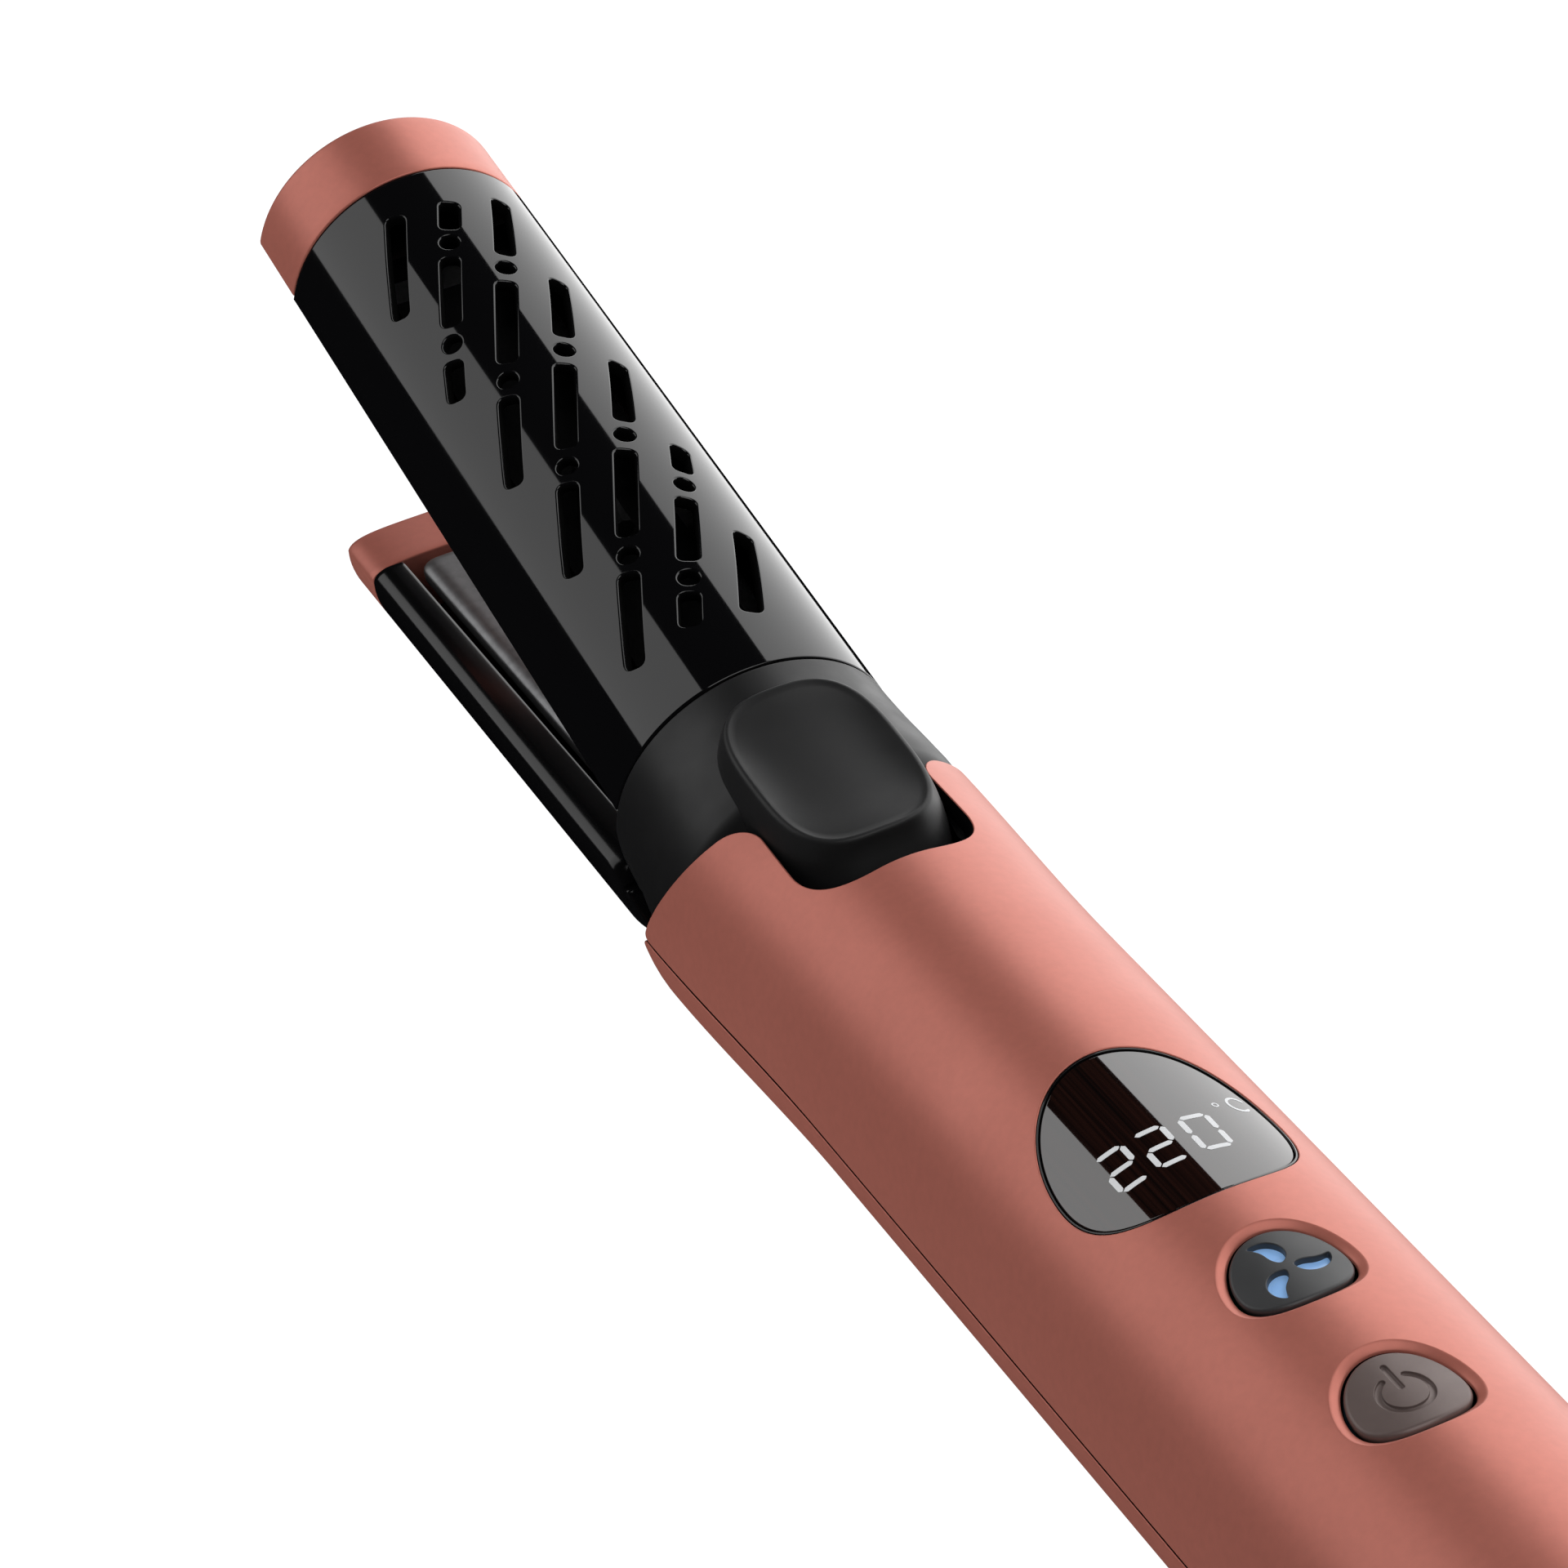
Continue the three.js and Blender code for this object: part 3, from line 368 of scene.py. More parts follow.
def wrapped_shell(surface, outline, holes=(), pockets=(), wall=1.6, edge=0.3,
                  spacing=(1.2, 1.2), inner=0.2, shade_inside=False, build=None):
    """A shell of even thickness on a curved surface.

    holes and pockets are (loop, edge section) pairs; a pocket's section ends at its floor.
    """
    build = build or Build()
    through = [(outline if area(outline) > 0 else outline[::-1], rounded_edge(edge, wall, inner=inner))]
    through += [(loop if area(loop) < 0 else loop[::-1], section) for loop, section in holes]
    sunk = [(loop if area(loop) < 0 else loop[::-1], section) for loop, section in pockets]
    margin = 0.45 * min(spacing)
    tops = [offset_loop(loop, section[0][0]) for loop, section in through + sunk]
    first = outer_face(build, surface, tops, spacing, margin)
    starts = np.cumsum([0] + [len(t) for t in tops])[:-1] + first
    last_rings = []
    for (loop, section), start in zip(through + sunk, starts):
        before = edge_walls(build, surface, loop, section, int(start))
        last_rings.append((before, offset_loop(loop, section[-1][0])))
        # Edge walls and inner face go near-black: the plastic inside, and painted shade in the seam and holes.
        if shade_inside:
            build.shade_faces += range(len(build.faces) - 2 * len(loop), len(build.faces))
    inner_rings = last_rings[:len(through)]
    wide = (spacing[0] * 2.5, spacing[1] * 1.6)
    grid, faces = triangles_between([loop for _, loop in inner_rings], wide, 0.5 * min(wide))
    if shade_inside:
        build.shade_faces += range(len(build.faces), len(build.faces) + len(faces))
    names = [np.arange(start, start + len(loop)) for start, loop in inner_rings]
    floor_faces(build, surface, names, grid, wall, faces[:, ::-1])
    for (loop, section), (start, floor_loop) in zip(sunk, last_rings[len(through):]):
        grid, faces = triangles_between([floor_loop[::-1]], spacing, margin)
        names = [np.arange(start + len(loop) - 1, start - 1, -1)]
        floor_faces(build, surface, names, grid, section[-1][1], faces)
    return build


def outer_face(build, surface, tops, spacing, margin):
    """Adds the face between the loops; returns its first vertex, where the loops' own vertices start."""
    grid, faces = triangles_between(tops, spacing, margin)
    points = np.concatenate(tops + [grid])
    first = build.add(surface.at(points, np.zeros(len(points))), surface.normal(points))
    build.faces += [tuple(int(v) + first for v in f) for f in faces]
    return first


def edge_walls(build, surface, loop, section, before):
    """Rings down an edge section, from the ring of vertices that starts at before; returns the last."""
    for distance, depth in section[1:]:
        p = offset_loop(loop, distance)
        ring = build.add(surface.at(p, np.full(len(p), depth)))
        build.ring_faces(before, ring, len(p))
        before = ring
    return before


def floor_faces(build, surface, names, grid, depth, faces):
    """Adds the grid's points at a depth, and faces that count the named vertices first."""
    extra = build.add(surface.at(grid, np.full(len(grid), depth)))
    names = np.concatenate(names + [np.arange(extra, extra + len(grid))]).astype(int)
    build.faces += [tuple(int(names[v]) for v in f) for f in faces]


def loft(rings, build=None):
    """Skins a list of rings that all have the same number of points, and caps both ends."""
    build = build or Build()
    firsts = [build.add(ring) for ring in rings]
    count = len(rings[0])
    for a, b in zip(firsts[:-1], firsts[1:]):
        build.ring_faces(a, b, count)
    build.faces.append(tuple(range(firsts[0] + count - 1, firsts[0] - 1, -1)))
    build.faces.append(tuple(range(firsts[-1], firsts[-1] + count)))
    return build


def section_ring(x, loop):
    """A closed outline in (y, z) placed at x."""
    return np.column_stack([np.full(len(loop), x), loop[:, 0], loop[:, 1]])


def lathe(profile, build=None, segments=72):
    """Turns closed (x, radius) points about the X axis."""
    build = build or Build()
    angle = np.linspace(0, 2 * math.pi, segments, endpoint=False)
    rings = [np.column_stack([np.full(segments, x), r * np.sin(angle), r * np.cos(angle)]) for x, r in profile]
    firsts = [build.add(ring) for ring in rings]
    for a, b in zip(firsts, firsts[1:] + firsts[:1]):
        build.ring_faces(a, b, segments)
    return build


def filleted(points, radii, count=5):
    """Polygon with rounded corners."""
    points = np.array(points, float)
    pieces = []
    for i, tip in enumerate(points):
        before, after = points[i - 1] - tip, points[(i + 1) % len(points)] - tip
        reach = min(radii[i], 0.49 * np.linalg.norm(before), 0.49 * np.linalg.norm(after))
        start = tip + before / np.linalg.norm(before) * reach
        end = tip + after / np.linalg.norm(after) * reach
        pieces.append(corner(start, tip, end, count) if reach > 0.01 else tip[None])
    return joined(*pieces)


# ---- Materials ----
class Finish:
    """A node material, written as a few steps: base look, then variation and surface grain."""

    def __init__(self, name, color, roughness, metallic=0.0, specular=0.5, ior=1.5):
        self.material = bpy.data.materials.new(name)
        self.material.use_nodes = True
        self.tree = self.material.node_tree
        self.shader = next(n for n in self.tree.nodes if n.type == "BSDF_PRINCIPLED")
        self.color = color
        self.set("Base Color", (*color, 1))
        self.set("Roughness", roughness)
        self.set("Metallic", metallic)
        self.set("Specular IOR Level", specular)
        self.set("IOR", ior)
        self.place = self.node("ShaderNodeTexCoord").outputs["Object"]

    def set(self, socket, value):
        self.shader.inputs[socket].default_value = value
        return self

    def node(self, kind, **values):
        node = self.tree.nodes.new(kind)
        for key, value in values.items():
            setattr(node, key, value)
        return node

    def link(self, output, target):
        self.tree.links.new(output, target)

    def noise(self, scale, detail=4, stretch=(1, 1, 1)):
        mapping = self.node("ShaderNodeMapping")
        mapping.inputs["Scale"].default_value = stretch
        self.link(self.place, mapping.inputs["Vector"])
        noise = self.node("ShaderNodeTexNoise")
        noise.inputs["Scale"].default_value = scale
        noise.inputs["Detail"].default_value = detail
        self.link(mapping.outputs["Vector"], noise.inputs["Vector"])
        return noise.outputs["Fac"]

    def spread(self, source, low, high):
        """Maps a 0 to 1 pattern to a range of values."""
        ramp = self.node("ShaderNodeMapRange")
        ramp.inputs["From Min"].default_value = 0.3
        ramp.inputs["From Max"].default_value = 0.7
        ramp.inputs["To Min"].default_value = low
        ramp.inputs["To Max"].default_value = high
        self.link(source, ramp.inputs["Value"])
        return ramp.outputs["Result"]

    def vary_roughness(self, scale, low, high, stretch=(1, 1, 1)):
        self.link(self.spread(self.noise(scale, 5, stretch), low, high), self.shader.inputs["Roughness"])
        return self

    def two_tone(self, dark, light, scale, detail, stretch):
        mix = self.node("ShaderNodeMix", data_type="RGBA")
        mix.inputs["A"].default_value = (*dark, 1)
        mix.inputs["B"].default_value = (*light, 1)
        self.link(self.spread(self.noise(scale, detail, stretch), 0, 1), mix.inputs["Factor"])
        self.link(mix.outputs["Result"], self.shader.inputs["Base Color"])
        return self

    def vary_color(self, scale, amount, stretch=(1, 1, 1)):
        dark, light = ([min(1, c * share) for c in self.color] for share in (1 - amount, 1 + amount))
        return self.two_tone(dark, light, scale, 3, stretch)

    def grain(self, scale, distance, detail=3, stretch=(1, 1, 1), strength=1.0):
        bump = self.node("ShaderNodeBump")
        bump.inputs["Distance"].default_value = distance
        bump.inputs["Strength"].default_value = strength
        self.link(self.noise(scale, detail, stretch), bump.inputs["Height"])
        self.link(bump.outputs["Normal"], self.shader.inputs["Normal"])
        return self


def black(name, level, roughness, specular=0.5):
    return Finish(name, (level, level, level + 0.0005), roughness, specular=specular)


# Satin coral lacquer with a fine pearl flake.
ROSE = (Finish("rose_satin_lacquer", (0.6, 0.19, 0.142), 0.4, metallic=0.38, specular=0.35)
        .vary_color(900, 0.03).vary_roughness(60, 0.38, 0.43).grain(3200, 0.000004, 2, strength=0.35)
        .set("Coat Weight", 0.05).set("Coat Roughness", 0.35).material)
GLOSS = (black("black_piano_gloss", 0.004, 0.06)
         .vary_roughness(45, 0.045, 0.075).grain(55, 0.000004, 1, strength=0.3).material)
ARM_GLOSS = (black("black_arm_gloss", 0.004, 0.17, 0.34)
             .vary_roughness(45, 0.15, 0.19).grain(55, 0.000004, 1, strength=0.3).material)
SATIN = (black("black_satin_plastic", 0.009, 0.42, 0.36)
         .vary_roughness(220, 0.38, 0.46).grain(2600, 0.00001, strength=0.4).material)
SOFT = (black("black_soft_touch", 0.011, 0.46, 0.36)
        .vary_roughness(260, 0.42, 0.5).grain(3000, 0.00001, strength=0.35).material)
# Near-black for shell edge walls, hole walls and inner faces: the plastic inside, and also painted shade that
# keeps the seam gap and vent walls dark.
BLACK_INSIDE_AND_SHADE = (Finish("black_inside_and_painted_shade", (0.003, 0.003, 0.003), 0.8, specular=0.06)
              .vary_roughness(300, 0.7, 0.85).grain(1500, 0.00002, strength=0.5).material)
PLATE = (Finish("ceramic_plate_coating", (0.24, 0.24, 0.245), 0.38, metallic=0.9)
         .vary_roughness(90, 0.35, 0.41, (1, 12, 1)).vary_color(700, 0.12)
         .grain(500, 0.000004, 2, (1, 20, 1), 0.3).material)
# Dark mirror with faint warm ribs below it.
LENS = (Finish("dark_mirror_lens", (0.006, 0.005, 0.005), 0.035, ior=2.0)
        .vary_roughness(40, 0.03, 0.045)
        .two_tone((0.004, 0.003, 0.003), (0.022, 0.008, 0.006), 200, 2, (0.1, 12, 12)).material)
DIGITS = (Finish("lit_digits", (0.6, 0.61, 0.62), 0.4)
          .set("Emission Color", (0.8, 0.82, 0.85, 1)).set("Emission Strength", 0.27)
          .vary_color(1500, 0.05).grain(2500, 0.000004).material)
GREY = (Finish("dark_grey_button", (0.048, 0.049, 0.051), 0.4)
        .vary_roughness(300, 0.36, 0.44).grain(2800, 0.000008, strength=0.4).material)
TAUPE = (Finish("taupe_button", (0.165, 0.122, 0.112), 0.4, metallic=0.25)
         .vary_roughness(300, 0.36, 0.44).vary_color(900, 0.03)
         .grain(2800, 0.000008, strength=0.4).material)
WINDOW = (Finish("blue_light_guide", (0.22, 0.42, 0.78), 0.25)
          .set("Emission Color", (0.3, 0.52, 0.86, 1)).set("Emission Strength", 0.3)
          .vary_color(160, 0.3).vary_roughness(400, 0.2, 0.32).material)
STEEL = (Finish("machined_steel", (0.62, 0.62, 0.63), 0.3, metallic=1.0)
         .vary_roughness(300, 0.22, 0.4, (1, 14, 1)).grain(900, 0.000008, 3, (1, 25, 1), 0.5).material)
ALUMINIUM = (Finish("extruded_aluminium", (0.74, 0.75, 0.76), 0.36, metallic=1.0)
             .vary_roughness(200, 0.3, 0.44, (0.3, 12, 12))
             .grain(600, 0.000008, 3, (0.1, 12, 12), 0.5).material)
DARK_ALUMINIUM = (black("black_anodised_aluminium", 0.004, 0.7, 0.08)
                  .vary_roughness(200, 0.55, 0.68, (0.3, 12, 12))
                  .grain(600, 0.000008, 3, (0.1, 12, 12), 0.5).material)
CERAMIC = (Finish("fired_ceramic", (0.78, 0.75, 0.69), 0.55)
           .vary_color(350, 0.06).grain(1400, 0.00002, 4, strength=0.6).material)
SILICONE = (Finish("grey_silicone", (0.24, 0.25, 0.26), 0.62)
            .vary_roughness(400, 0.55, 0.7).grain(1800, 0.00002, strength=0.5).material)
BOARD = (Finish("solder_mask", (0.012, 0.085, 0.035), 0.32)
         .vary_color(420, 0.35, (1, 3, 1)).vary_roughness(500, 0.26, 0.4).grain(900, 0.00002, 2).material)
NYLON = (Finish("natural_nylon", (0.66, 0.62, 0.52), 0.5)
         .set("Subsurface Weight", 0.15).vary_color(120, 0.05)
         .grain(1600, 0.00002, strength=0.5).material)
MESH = (Finish("etched_filter_mesh", (0.36, 0.37, 0.38), 0.4, metallic=0.9)
        .vary_color(700, 0.2).grain(1100, 0.00003, 2, strength=0.8).material)

# ---- Handle shells ----
def handle_radius(x):
    return HANDLE_RADIUS + smoothstep(x, -56, -14) * SWELL - smoothstep(x, -14, 4) * TURN_IN


HANDLE_SURFACE = Surface(lambda p: flat_below(round_body(p, handle_radius(p[:, 0])), UNDERSIDE, 0.25))


def round_at(z, x):
    """Distance round the handle, from its top line, of the height z."""
    return HANDLE_RADIUS * np.arccos(np.clip(z / handle_radius(x), -1, 1))


def mouth_x(round_distance):
    x = np.full_like(np.asarray(round_distance, float), -15.0)
    for _ in range(12):
        x = curve_through(MOUTH, handle_radius(x) * np.cos(round_distance / HANDLE_RADIUS))
    return x


def mouth_at(round_distance):
    return float(mouth_x(np.array([round_distance]))[0]), round_distance


def mouth_edge(start, end, step=0.6):
    s = np.linspace(start, end, max(3, int(abs(end - start) / step)))
    return np.column_stack([mouth_x(s), s])


def seam_edge(x0, x1, z, step=1.2):
    x = np.linspace(x0, x1, int(abs(x1 - x0) / step) + 2)
    return np.column_stack([x, round_at(z, x)])


def seam_to_mouth(z, way):
    """The seam from the tail to its rounded corner with the mouth, and where on the mouth that ends."""
    seam_round = float(round_at(z, SEAM_FRONT_X))
    front = mouth_at(seam_round)[0]
    end = seam_round + way * SEAM_CORNER
    turn = corner((front - SEAM_CORNER, seam_round), (front, seam_round), mouth_at(end), 7)
    return joined(seam_edge(SHELL_END, front - SEAM_CORNER, z), turn, closed=False), end


def notch_side(x):
    return float(HANDLE_RADIUS * np.arcsin(NOTCH_HALF_WIDTH / handle_radius(x)))


def upper_shell_outline():
    seam, seam_end = seam_to_mouth(SEAM_Z + SEAM_GAP / 2, -1)
    notch_round = notch_side(-24.0)
    rear_round = notch_side(NOTCH_REAR)
    tip_x, _ = lobe_tip = mouth_at(notch_round)
    half = joined(
        seam,
        mouth_edge(seam_end, notch_round + NOTCH_LOBE),
        corner(mouth_at(notch_round + NOTCH_LOBE), lobe_tip, (tip_x - NOTCH_LOBE, notch_round), 14),
        line((tip_x - NOTCH_LOBE, notch_round), (NOTCH_REAR + NOTCH_CORNER, rear_round), 0.6),
        corner((NOTCH_REAR + NOTCH_CORNER, rear_round), (NOTCH_REAR, rear_round),
               (NOTCH_REAR, rear_round - NOTCH_CORNER), 20),
        line((NOTCH_REAR, rear_round - NOTCH_CORNER), (NOTCH_REAR, 0), 0.6), closed=False)
    return strip(half, half[::-1] * [1, -1])


POCKET_EDGE = [(0.95, 0), (0.89, 0.012), (0.78, 0.06), (0.6, 0.19), (0.32, 0.44), (0.12, 0.62),
               (0.03, 0.76), (0.0, 0.95), (0.0, SHELL_WALL - 0.1), (0.3, SHELL_WALL)]


def upper_shell():
    holes = [(plectrum(DISPLAY, 0.45), rounded_edge(0.15, SHELL_WALL)),
             (plectrum(FAN, 0.4), POCKET_EDGE),
             (plectrum(POWER, 0.4), POCKET_EDGE)]
    build = wrapped_shell(HANDLE_SURFACE, upper_shell_outline(), holes, wall=SHELL_WALL, edge=0.15,
                          spacing=(1.3, 1.1), shade_inside=True)
    build.piece("upper_shell_skin", HANDLE, ROSE, "handle", "upper_shell", "rose_shell")


def lower_shell():
    seam, seam_end = seam_to_mouth(SEAM_Z - SEAM_GAP / 2, 1)
    left = joined(seam, mouth_edge(seam_end, FULL_TURN / 2), closed=False)
    outline = strip(left, left[::-1] * [1, -1] + [0, FULL_TURN])
    screws = [(bar_outline(4.8, 4.8, 2.4, 0.3) + [x, FULL_TURN / 2 + y], rounded_edge(0.25, LIP_WALL))
              for x, y in SCREWS]
    build = wrapped_shell(HANDLE_SURFACE, outline, screws, wall=LIP_WALL, edge=0.15, spacing=(1.3, 1.1),
                          shade_inside=True)
    build.piece("lower_shell_skin", HANDLE, ROSE, "handle", "lower_shell", "rose_shell")


# ---- Barrel ----
def barrel_radius(along):
    return BARREL_RADIUS - BARREL_TAPER * along


BARREL_SURFACE = Surface(
    lambda p: round_body(p, barrel_radius(p[:, 0]), BARREL_RADIUS, AXIS_Z) + [COLLAR_FRONT, 0, 0])
VENT_SLANT = 24.5
VENT_WIDTH = 2.7
VENT_CORNER = 0.85
VENT_SPACING = 17.4
VENT_MIDDLE = 51.4
FULL = [(-27, -13.4), (-10.6, -10.6), (-7.6, 7.6), (10.6, 10.6), (13.4, 27)]
SHORT = [(-27.2, -21.2), (-18.4, -18.4), (-15.5, -3.5), (-0.6, -0.6), (1.9, 7.4)]
END = [(-27.4, -10.8)]


def mirrored(column):
    return [(-to, -start) for start, to in column]


def vent_loops():
    columns = [(3, END), (2, SHORT), (1, FULL), (0, FULL), (-1, FULL), (-2, mirrored(SHORT)),
               (-3, mirrored(END))]
    slant = math.radians(VENT_SLANT)
    for step, column in columns:
        for start, end in column:
            length = max(end - start, VENT_WIDTH)
            radius = VENT_WIDTH / 2 if length <= VENT_WIDTH else VENT_CORNER
            middle = (start + end) / 2
            along = VENT_MIDDLE + step * VENT_SPACING + middle * math.cos(slant)
            place = (along, -middle * math.sin(slant))
            yield turned_and_placed(bar_outline(length, VENT_WIDTH, radius, 0.32), -VENT_SLANT, place)


def flat_edge(along):
    return BARREL_RADIUS * np.arccos(BARREL_FLAT / barrel_radius(along))


def barrel_outline(start, end):
    x = np.linspace(start, end, int((end - start) / 1.0) + 2)
    left = np.column_stack([x, flat_edge(x)])
    return strip(left * [1, -1], left[::-1])


def barrel_shell():
    holes = [(loop, rounded_edge(0.3, BARREL_WALL, 4, 0.1)) for loop in vent_loops()]
    build = wrapped_shell(BARREL_SURFACE, barrel_outline(0.15, BARREL_LENGTH), holes, wall=BARREL_WALL,
                          edge=0.25, spacing=(1.1, 0.9), shade_inside=True)
    build.piece("barrel_shell_vented", ARM, GLOSS, "upper_arm", "barrel_shell", "black_gloss")


def d_section(radius, flat, round_radius=0.5, count=72):
    """Half-round outline in (y, z) about the barrel axis, closed by its flat."""
    half = math.degrees(math.acos(flat / radius))
    reach = round_radius / radius * 57.3
    dome = arc((0, 0), radius, 90 - half + reach, 90 + half - reach, count)
    edge = radius * math.sin(math.radians(half))
    left, right = (-edge, flat), (edge, flat)
    loop = joined(dome, corner(dome[-1], left, (left[0] + round_radius, flat), 5),
                  line((left[0] + round_radius, flat), (right[0] - round_radius, flat), 1.2),
                  corner((right[0] - round_radius, flat), right, dome[0], 5))
    return loop + [0, AXIS_Z]


def shrunk(loop, distance):
    return offset_loop(loop if area(loop) > 0 else loop[::-1], distance)


def barrel_tip_cap():
    start, end = BARREL_LENGTH + FIT, BARREL_LENGTH + CAP_LENGTH
    edge, rear_edge = 0.9, 0.25
    rings = [(start + rear_edge * (1 - math.sin(t)), rear_edge * (1 - math.cos(t)))
             for t in np.linspace(1.57, 0, 5)]
    rings += [(along, 0.0) for along in np.linspace(start + 2, end - edge, 6)]
    rings += [(end - edge + edge * math.sin(t), edge - edge * math.cos(t)) for t in np.linspace(0.2, 1.57, 7)]
    sections = [shrunk(d_section(barrel_radius(along), BARREL_FLAT, 0.8), inset) for along, inset in rings]
    build = loft([section_ring(COLLAR_FRONT + ring[0], section) for ring, section in zip(rings, sections)])
    # The rear end face, against the barrel, takes the near-black inside material, which is partly painted
    # shade.
    build.shade_faces = [len(build.faces) - 2]
    build.piece("barrel_tip_cap_skin", ARM, ROSE, "upper_arm", "barrel_tip_cap", "rose_shell")


def level_rings(outline, rings):
    """Level copies of an outline in (x, y), one for each (inset, height)."""
    return [np.column_stack([offset_loop(outline, inset), np.full(len(outline), z)]) for inset, z in rings]


def bevelled_plate(run, z0, z1, edge, corner_radius, up):
    """A flat bar with rounded corners and a rolled working face, above or below."""
    x0, x1 = run
    outline = bar_outline(x1 - x0, 2 * PLATE_HALF_WIDTH, corner_radius, 0.8) + [(x0 + x1) / 2, 0]
    low, high, sign = (z0, z1, 1) if up else (z1, z0, -1)
    steps = np.linspace(0, math.pi / 2, 8)
    drop = 0.4 * edge
    rings = [(0.0, low), (0.0, high - sign * drop)]
    rings += [(edge * (1 - math.cos(a)), high - sign * drop * (1 - math.sin(a))) for a in steps[1:]]
    return loft(level_rings(outline, rings))


def barrel_plate():
    build = bevelled_plate(BARREL_PLATE, 0, 2, 1.8, 2.2, up=False)
    build.piece("barrel_plate_coated", ARM, PLATE, "upper_arm", "barrel_plate", "plate_coating")


def barrel_base():
    """Tray round the plate, inside the barrel's flat side."""
    outer, rear, front = BARREL_RADIUS * 0.86, COLLAR_FRONT + 0.6, COLLAR_FRONT + 99.6
    loop = filleted([(rear, -outer), (front, -outer + 1.0), (front, outer - 1.0), (rear, outer)], [0.6] * 4)
    hole = bar_outline(88.6, 2 * (PLATE_HALF_WIDTH + FIT), 2.1, 0.9) + [86, 0]
    flat = Surface(lambda p: np.column_stack([p[:, 0], -p[:, 1], np.full(len(p), AXIS_Z + BARREL_FLAT)]))
    build = wrapped_shell(flat, resampled(loop, 1.0), [(hole, rounded_edge(0.4, 1.6))], wall=1.6, edge=0.25,
                          spacing=(5, 2.5), shade_inside=True)
    build.piece("barrel_base_tray", ARM, GLOSS, "upper_arm", "barrel_base", "black_gloss")


# ---- Collar and thumb pad ----
FLARE = [(11.0, 17.6), (12.5, 18.0), (14.5, 18.8), (15.5, 19.3), (18, 19.5), (22, 19.15), (28, 18.45),
         (32, 18.1), (COLLAR_FRONT, 17.95)]
CHEEK = [(11.0, -3.5), (15, -4.7), (20, -6.2), (24, -7.6), (27, -8.5), (29, -8.7), (31, -8.3), (33.2, -6.6),
         (COLLAR_FRONT, -2.4)]


EAR = [(-4.2, -4.2), (-4.2, 4.2), (10, 9), (33, 9), (33, 1), (10, -4.2)]
EAR_CORNERS = [3, 3, 2, 1, 1, 2]
EAR_EDGE = [(-1.4, 0.3), (-1.1, 0.0), (1.1, 0.0), (1.4, 0.3)]
EAR_Y = 11


def on_collar(p):
    x, y, z = round_body(p, curve_through(FLARE, p[:, 0]), BARREL_RADIUS, AXIS_Z).T
    kept = 1 - shaved_for_shells(x - PIN_BEHIND_COLLAR, y, z)
    return np.column_stack([x, y * kept, z * kept])


def shaved_for_shells(x, y, z):
    """How much smaller the collar is where the shells cover it with the barrel closed."""
    room = handle_radius(x) - LIP_WALL - RUN_GAP
    covered = smoothstep(curve_through(MOUTH, z) - x, -1.8, -0.4)
    return covered * np.clip(1 - room / np.hypot(y, z), 0, 1)


def collar():
    x = np.linspace(12.5, COLLAR_FRONT, 46)
    r = curve_through(FLARE, x)
    low = BARREL_RADIUS * np.arccos(np.clip((curve_through(CHEEK, x) - AXIS_Z) / r, -1, 1))
    left = np.column_stack([x, low])
    outline = strip(left * [1, -1], left[::-1])
    build = wrapped_shell(Surface(on_collar), outline, wall=1.5, edge=0.35, spacing=(0.9, 0.9))
    bulkhead = shrunk(d_section(BARREL_RADIUS, BARREL_FLAT, 0.8), 1.2)
    loft([section_ring(COLLAR_FRONT + along, bulkhead) for along in (-4.0, -1.6)], build)
    ear = filleted(EAR, EAR_CORNERS)[::-1]
    for side in (-1, 1):
        rings = [(offset_loop(ear, inset), EAR_Y * side + y) for y, inset in EAR_EDGE]
        loft([np.column_stack([loop[:, 0], np.full(len(loop), y), loop[:, 1]]) for loop, y in rings], build)
    build.piece("collar_sleeve", ARM, SATIN, "upper_arm", "collar", "black_satin")


PAD_CENTRE_X = 14.8
PAD_TOP_Z = 19.4
PAD_TILT_DEG = 5.8
PAD_LENGTH = 28.0
PAD_WIDTH = 18.3
PAD_DISH = 0.8
PAD_CROWN = 0.7
PAD_REAR_RUN = 2.4


def pad_outline(grow):
    """Soft-cornered outline, a little fuller towards the barrel."""
    a, b = PAD_LENGTH / 2, PAD_WIDTH / 2
    angle = np.linspace(0, 2 * math.pi, 144, endpoint=False)
    power = 2.0 / 3.1
    x = a * np.sign(np.cos(angle)) * np.abs(np.cos(angle)) ** power
    y = b * np.sign(np.sin(angle)) * np.abs(np.sin(angle)) ** power
    return offset_loop(resampled(np.column_stack([x, y]), 0.6), -grow)


def pad_ring(outline, z, hollow):
    """Crowned across the pad and hollow along it."""
    x, y = outline[:, 0] / (PAD_LENGTH / 2), outline[:, 1] / (PAD_WIDTH / 2)
    run = PAD_REAR_RUN * float(smoothstep(-z, 0.5, 8)) * smoothstep(-x, 0.1, 1)
    outline = outline - np.column_stack([run, 0 * run])
    crown = PAD_CROWN * np.clip(1 + z / 5, 0, 1) * np.clip(y ** 2, 0, 1)
    return np.column_stack([outline, z - crown - hollow * PAD_DISH * np.clip(1 - x ** 2, 0, 1)])


def thumb_pad():
    rim = [(-10.2, 1.22), (-7.0, 1.22), (-5.2, 1.2), (-3.8, 1.08), (-2.6, 0.85), (-1.6, 0.6), (-0.9, 0.4),
           (-0.45, 0.26), (-0.18, 0.12), (-0.05, -0.06), (0.0, -0.28), (-0.06, -0.5), (-0.18, -0.75)]
    rings = [pad_ring(pad_outline(grow), z, 0) for z, grow in rim]
    last_z, last_grow = rim[-1]
    last = pad_outline(last_grow)
    for t in np.linspace(0.95, 0.05, 14):
        rings.append(pad_ring(last * t, last_z, 1 - t ** 4))
    build = loft(rings)
    tilt = ARM @ Matrix.Translation((PAD_CENTRE_X, 0, PAD_TOP_Z)) @ Matrix.Rotation(
        math.radians(PAD_TILT_DEG), 4, "Y")
    build.piece("thumb_pad_dished", tilt, SOFT, "upper_arm", "thumb_pad", "black_satin", 50)


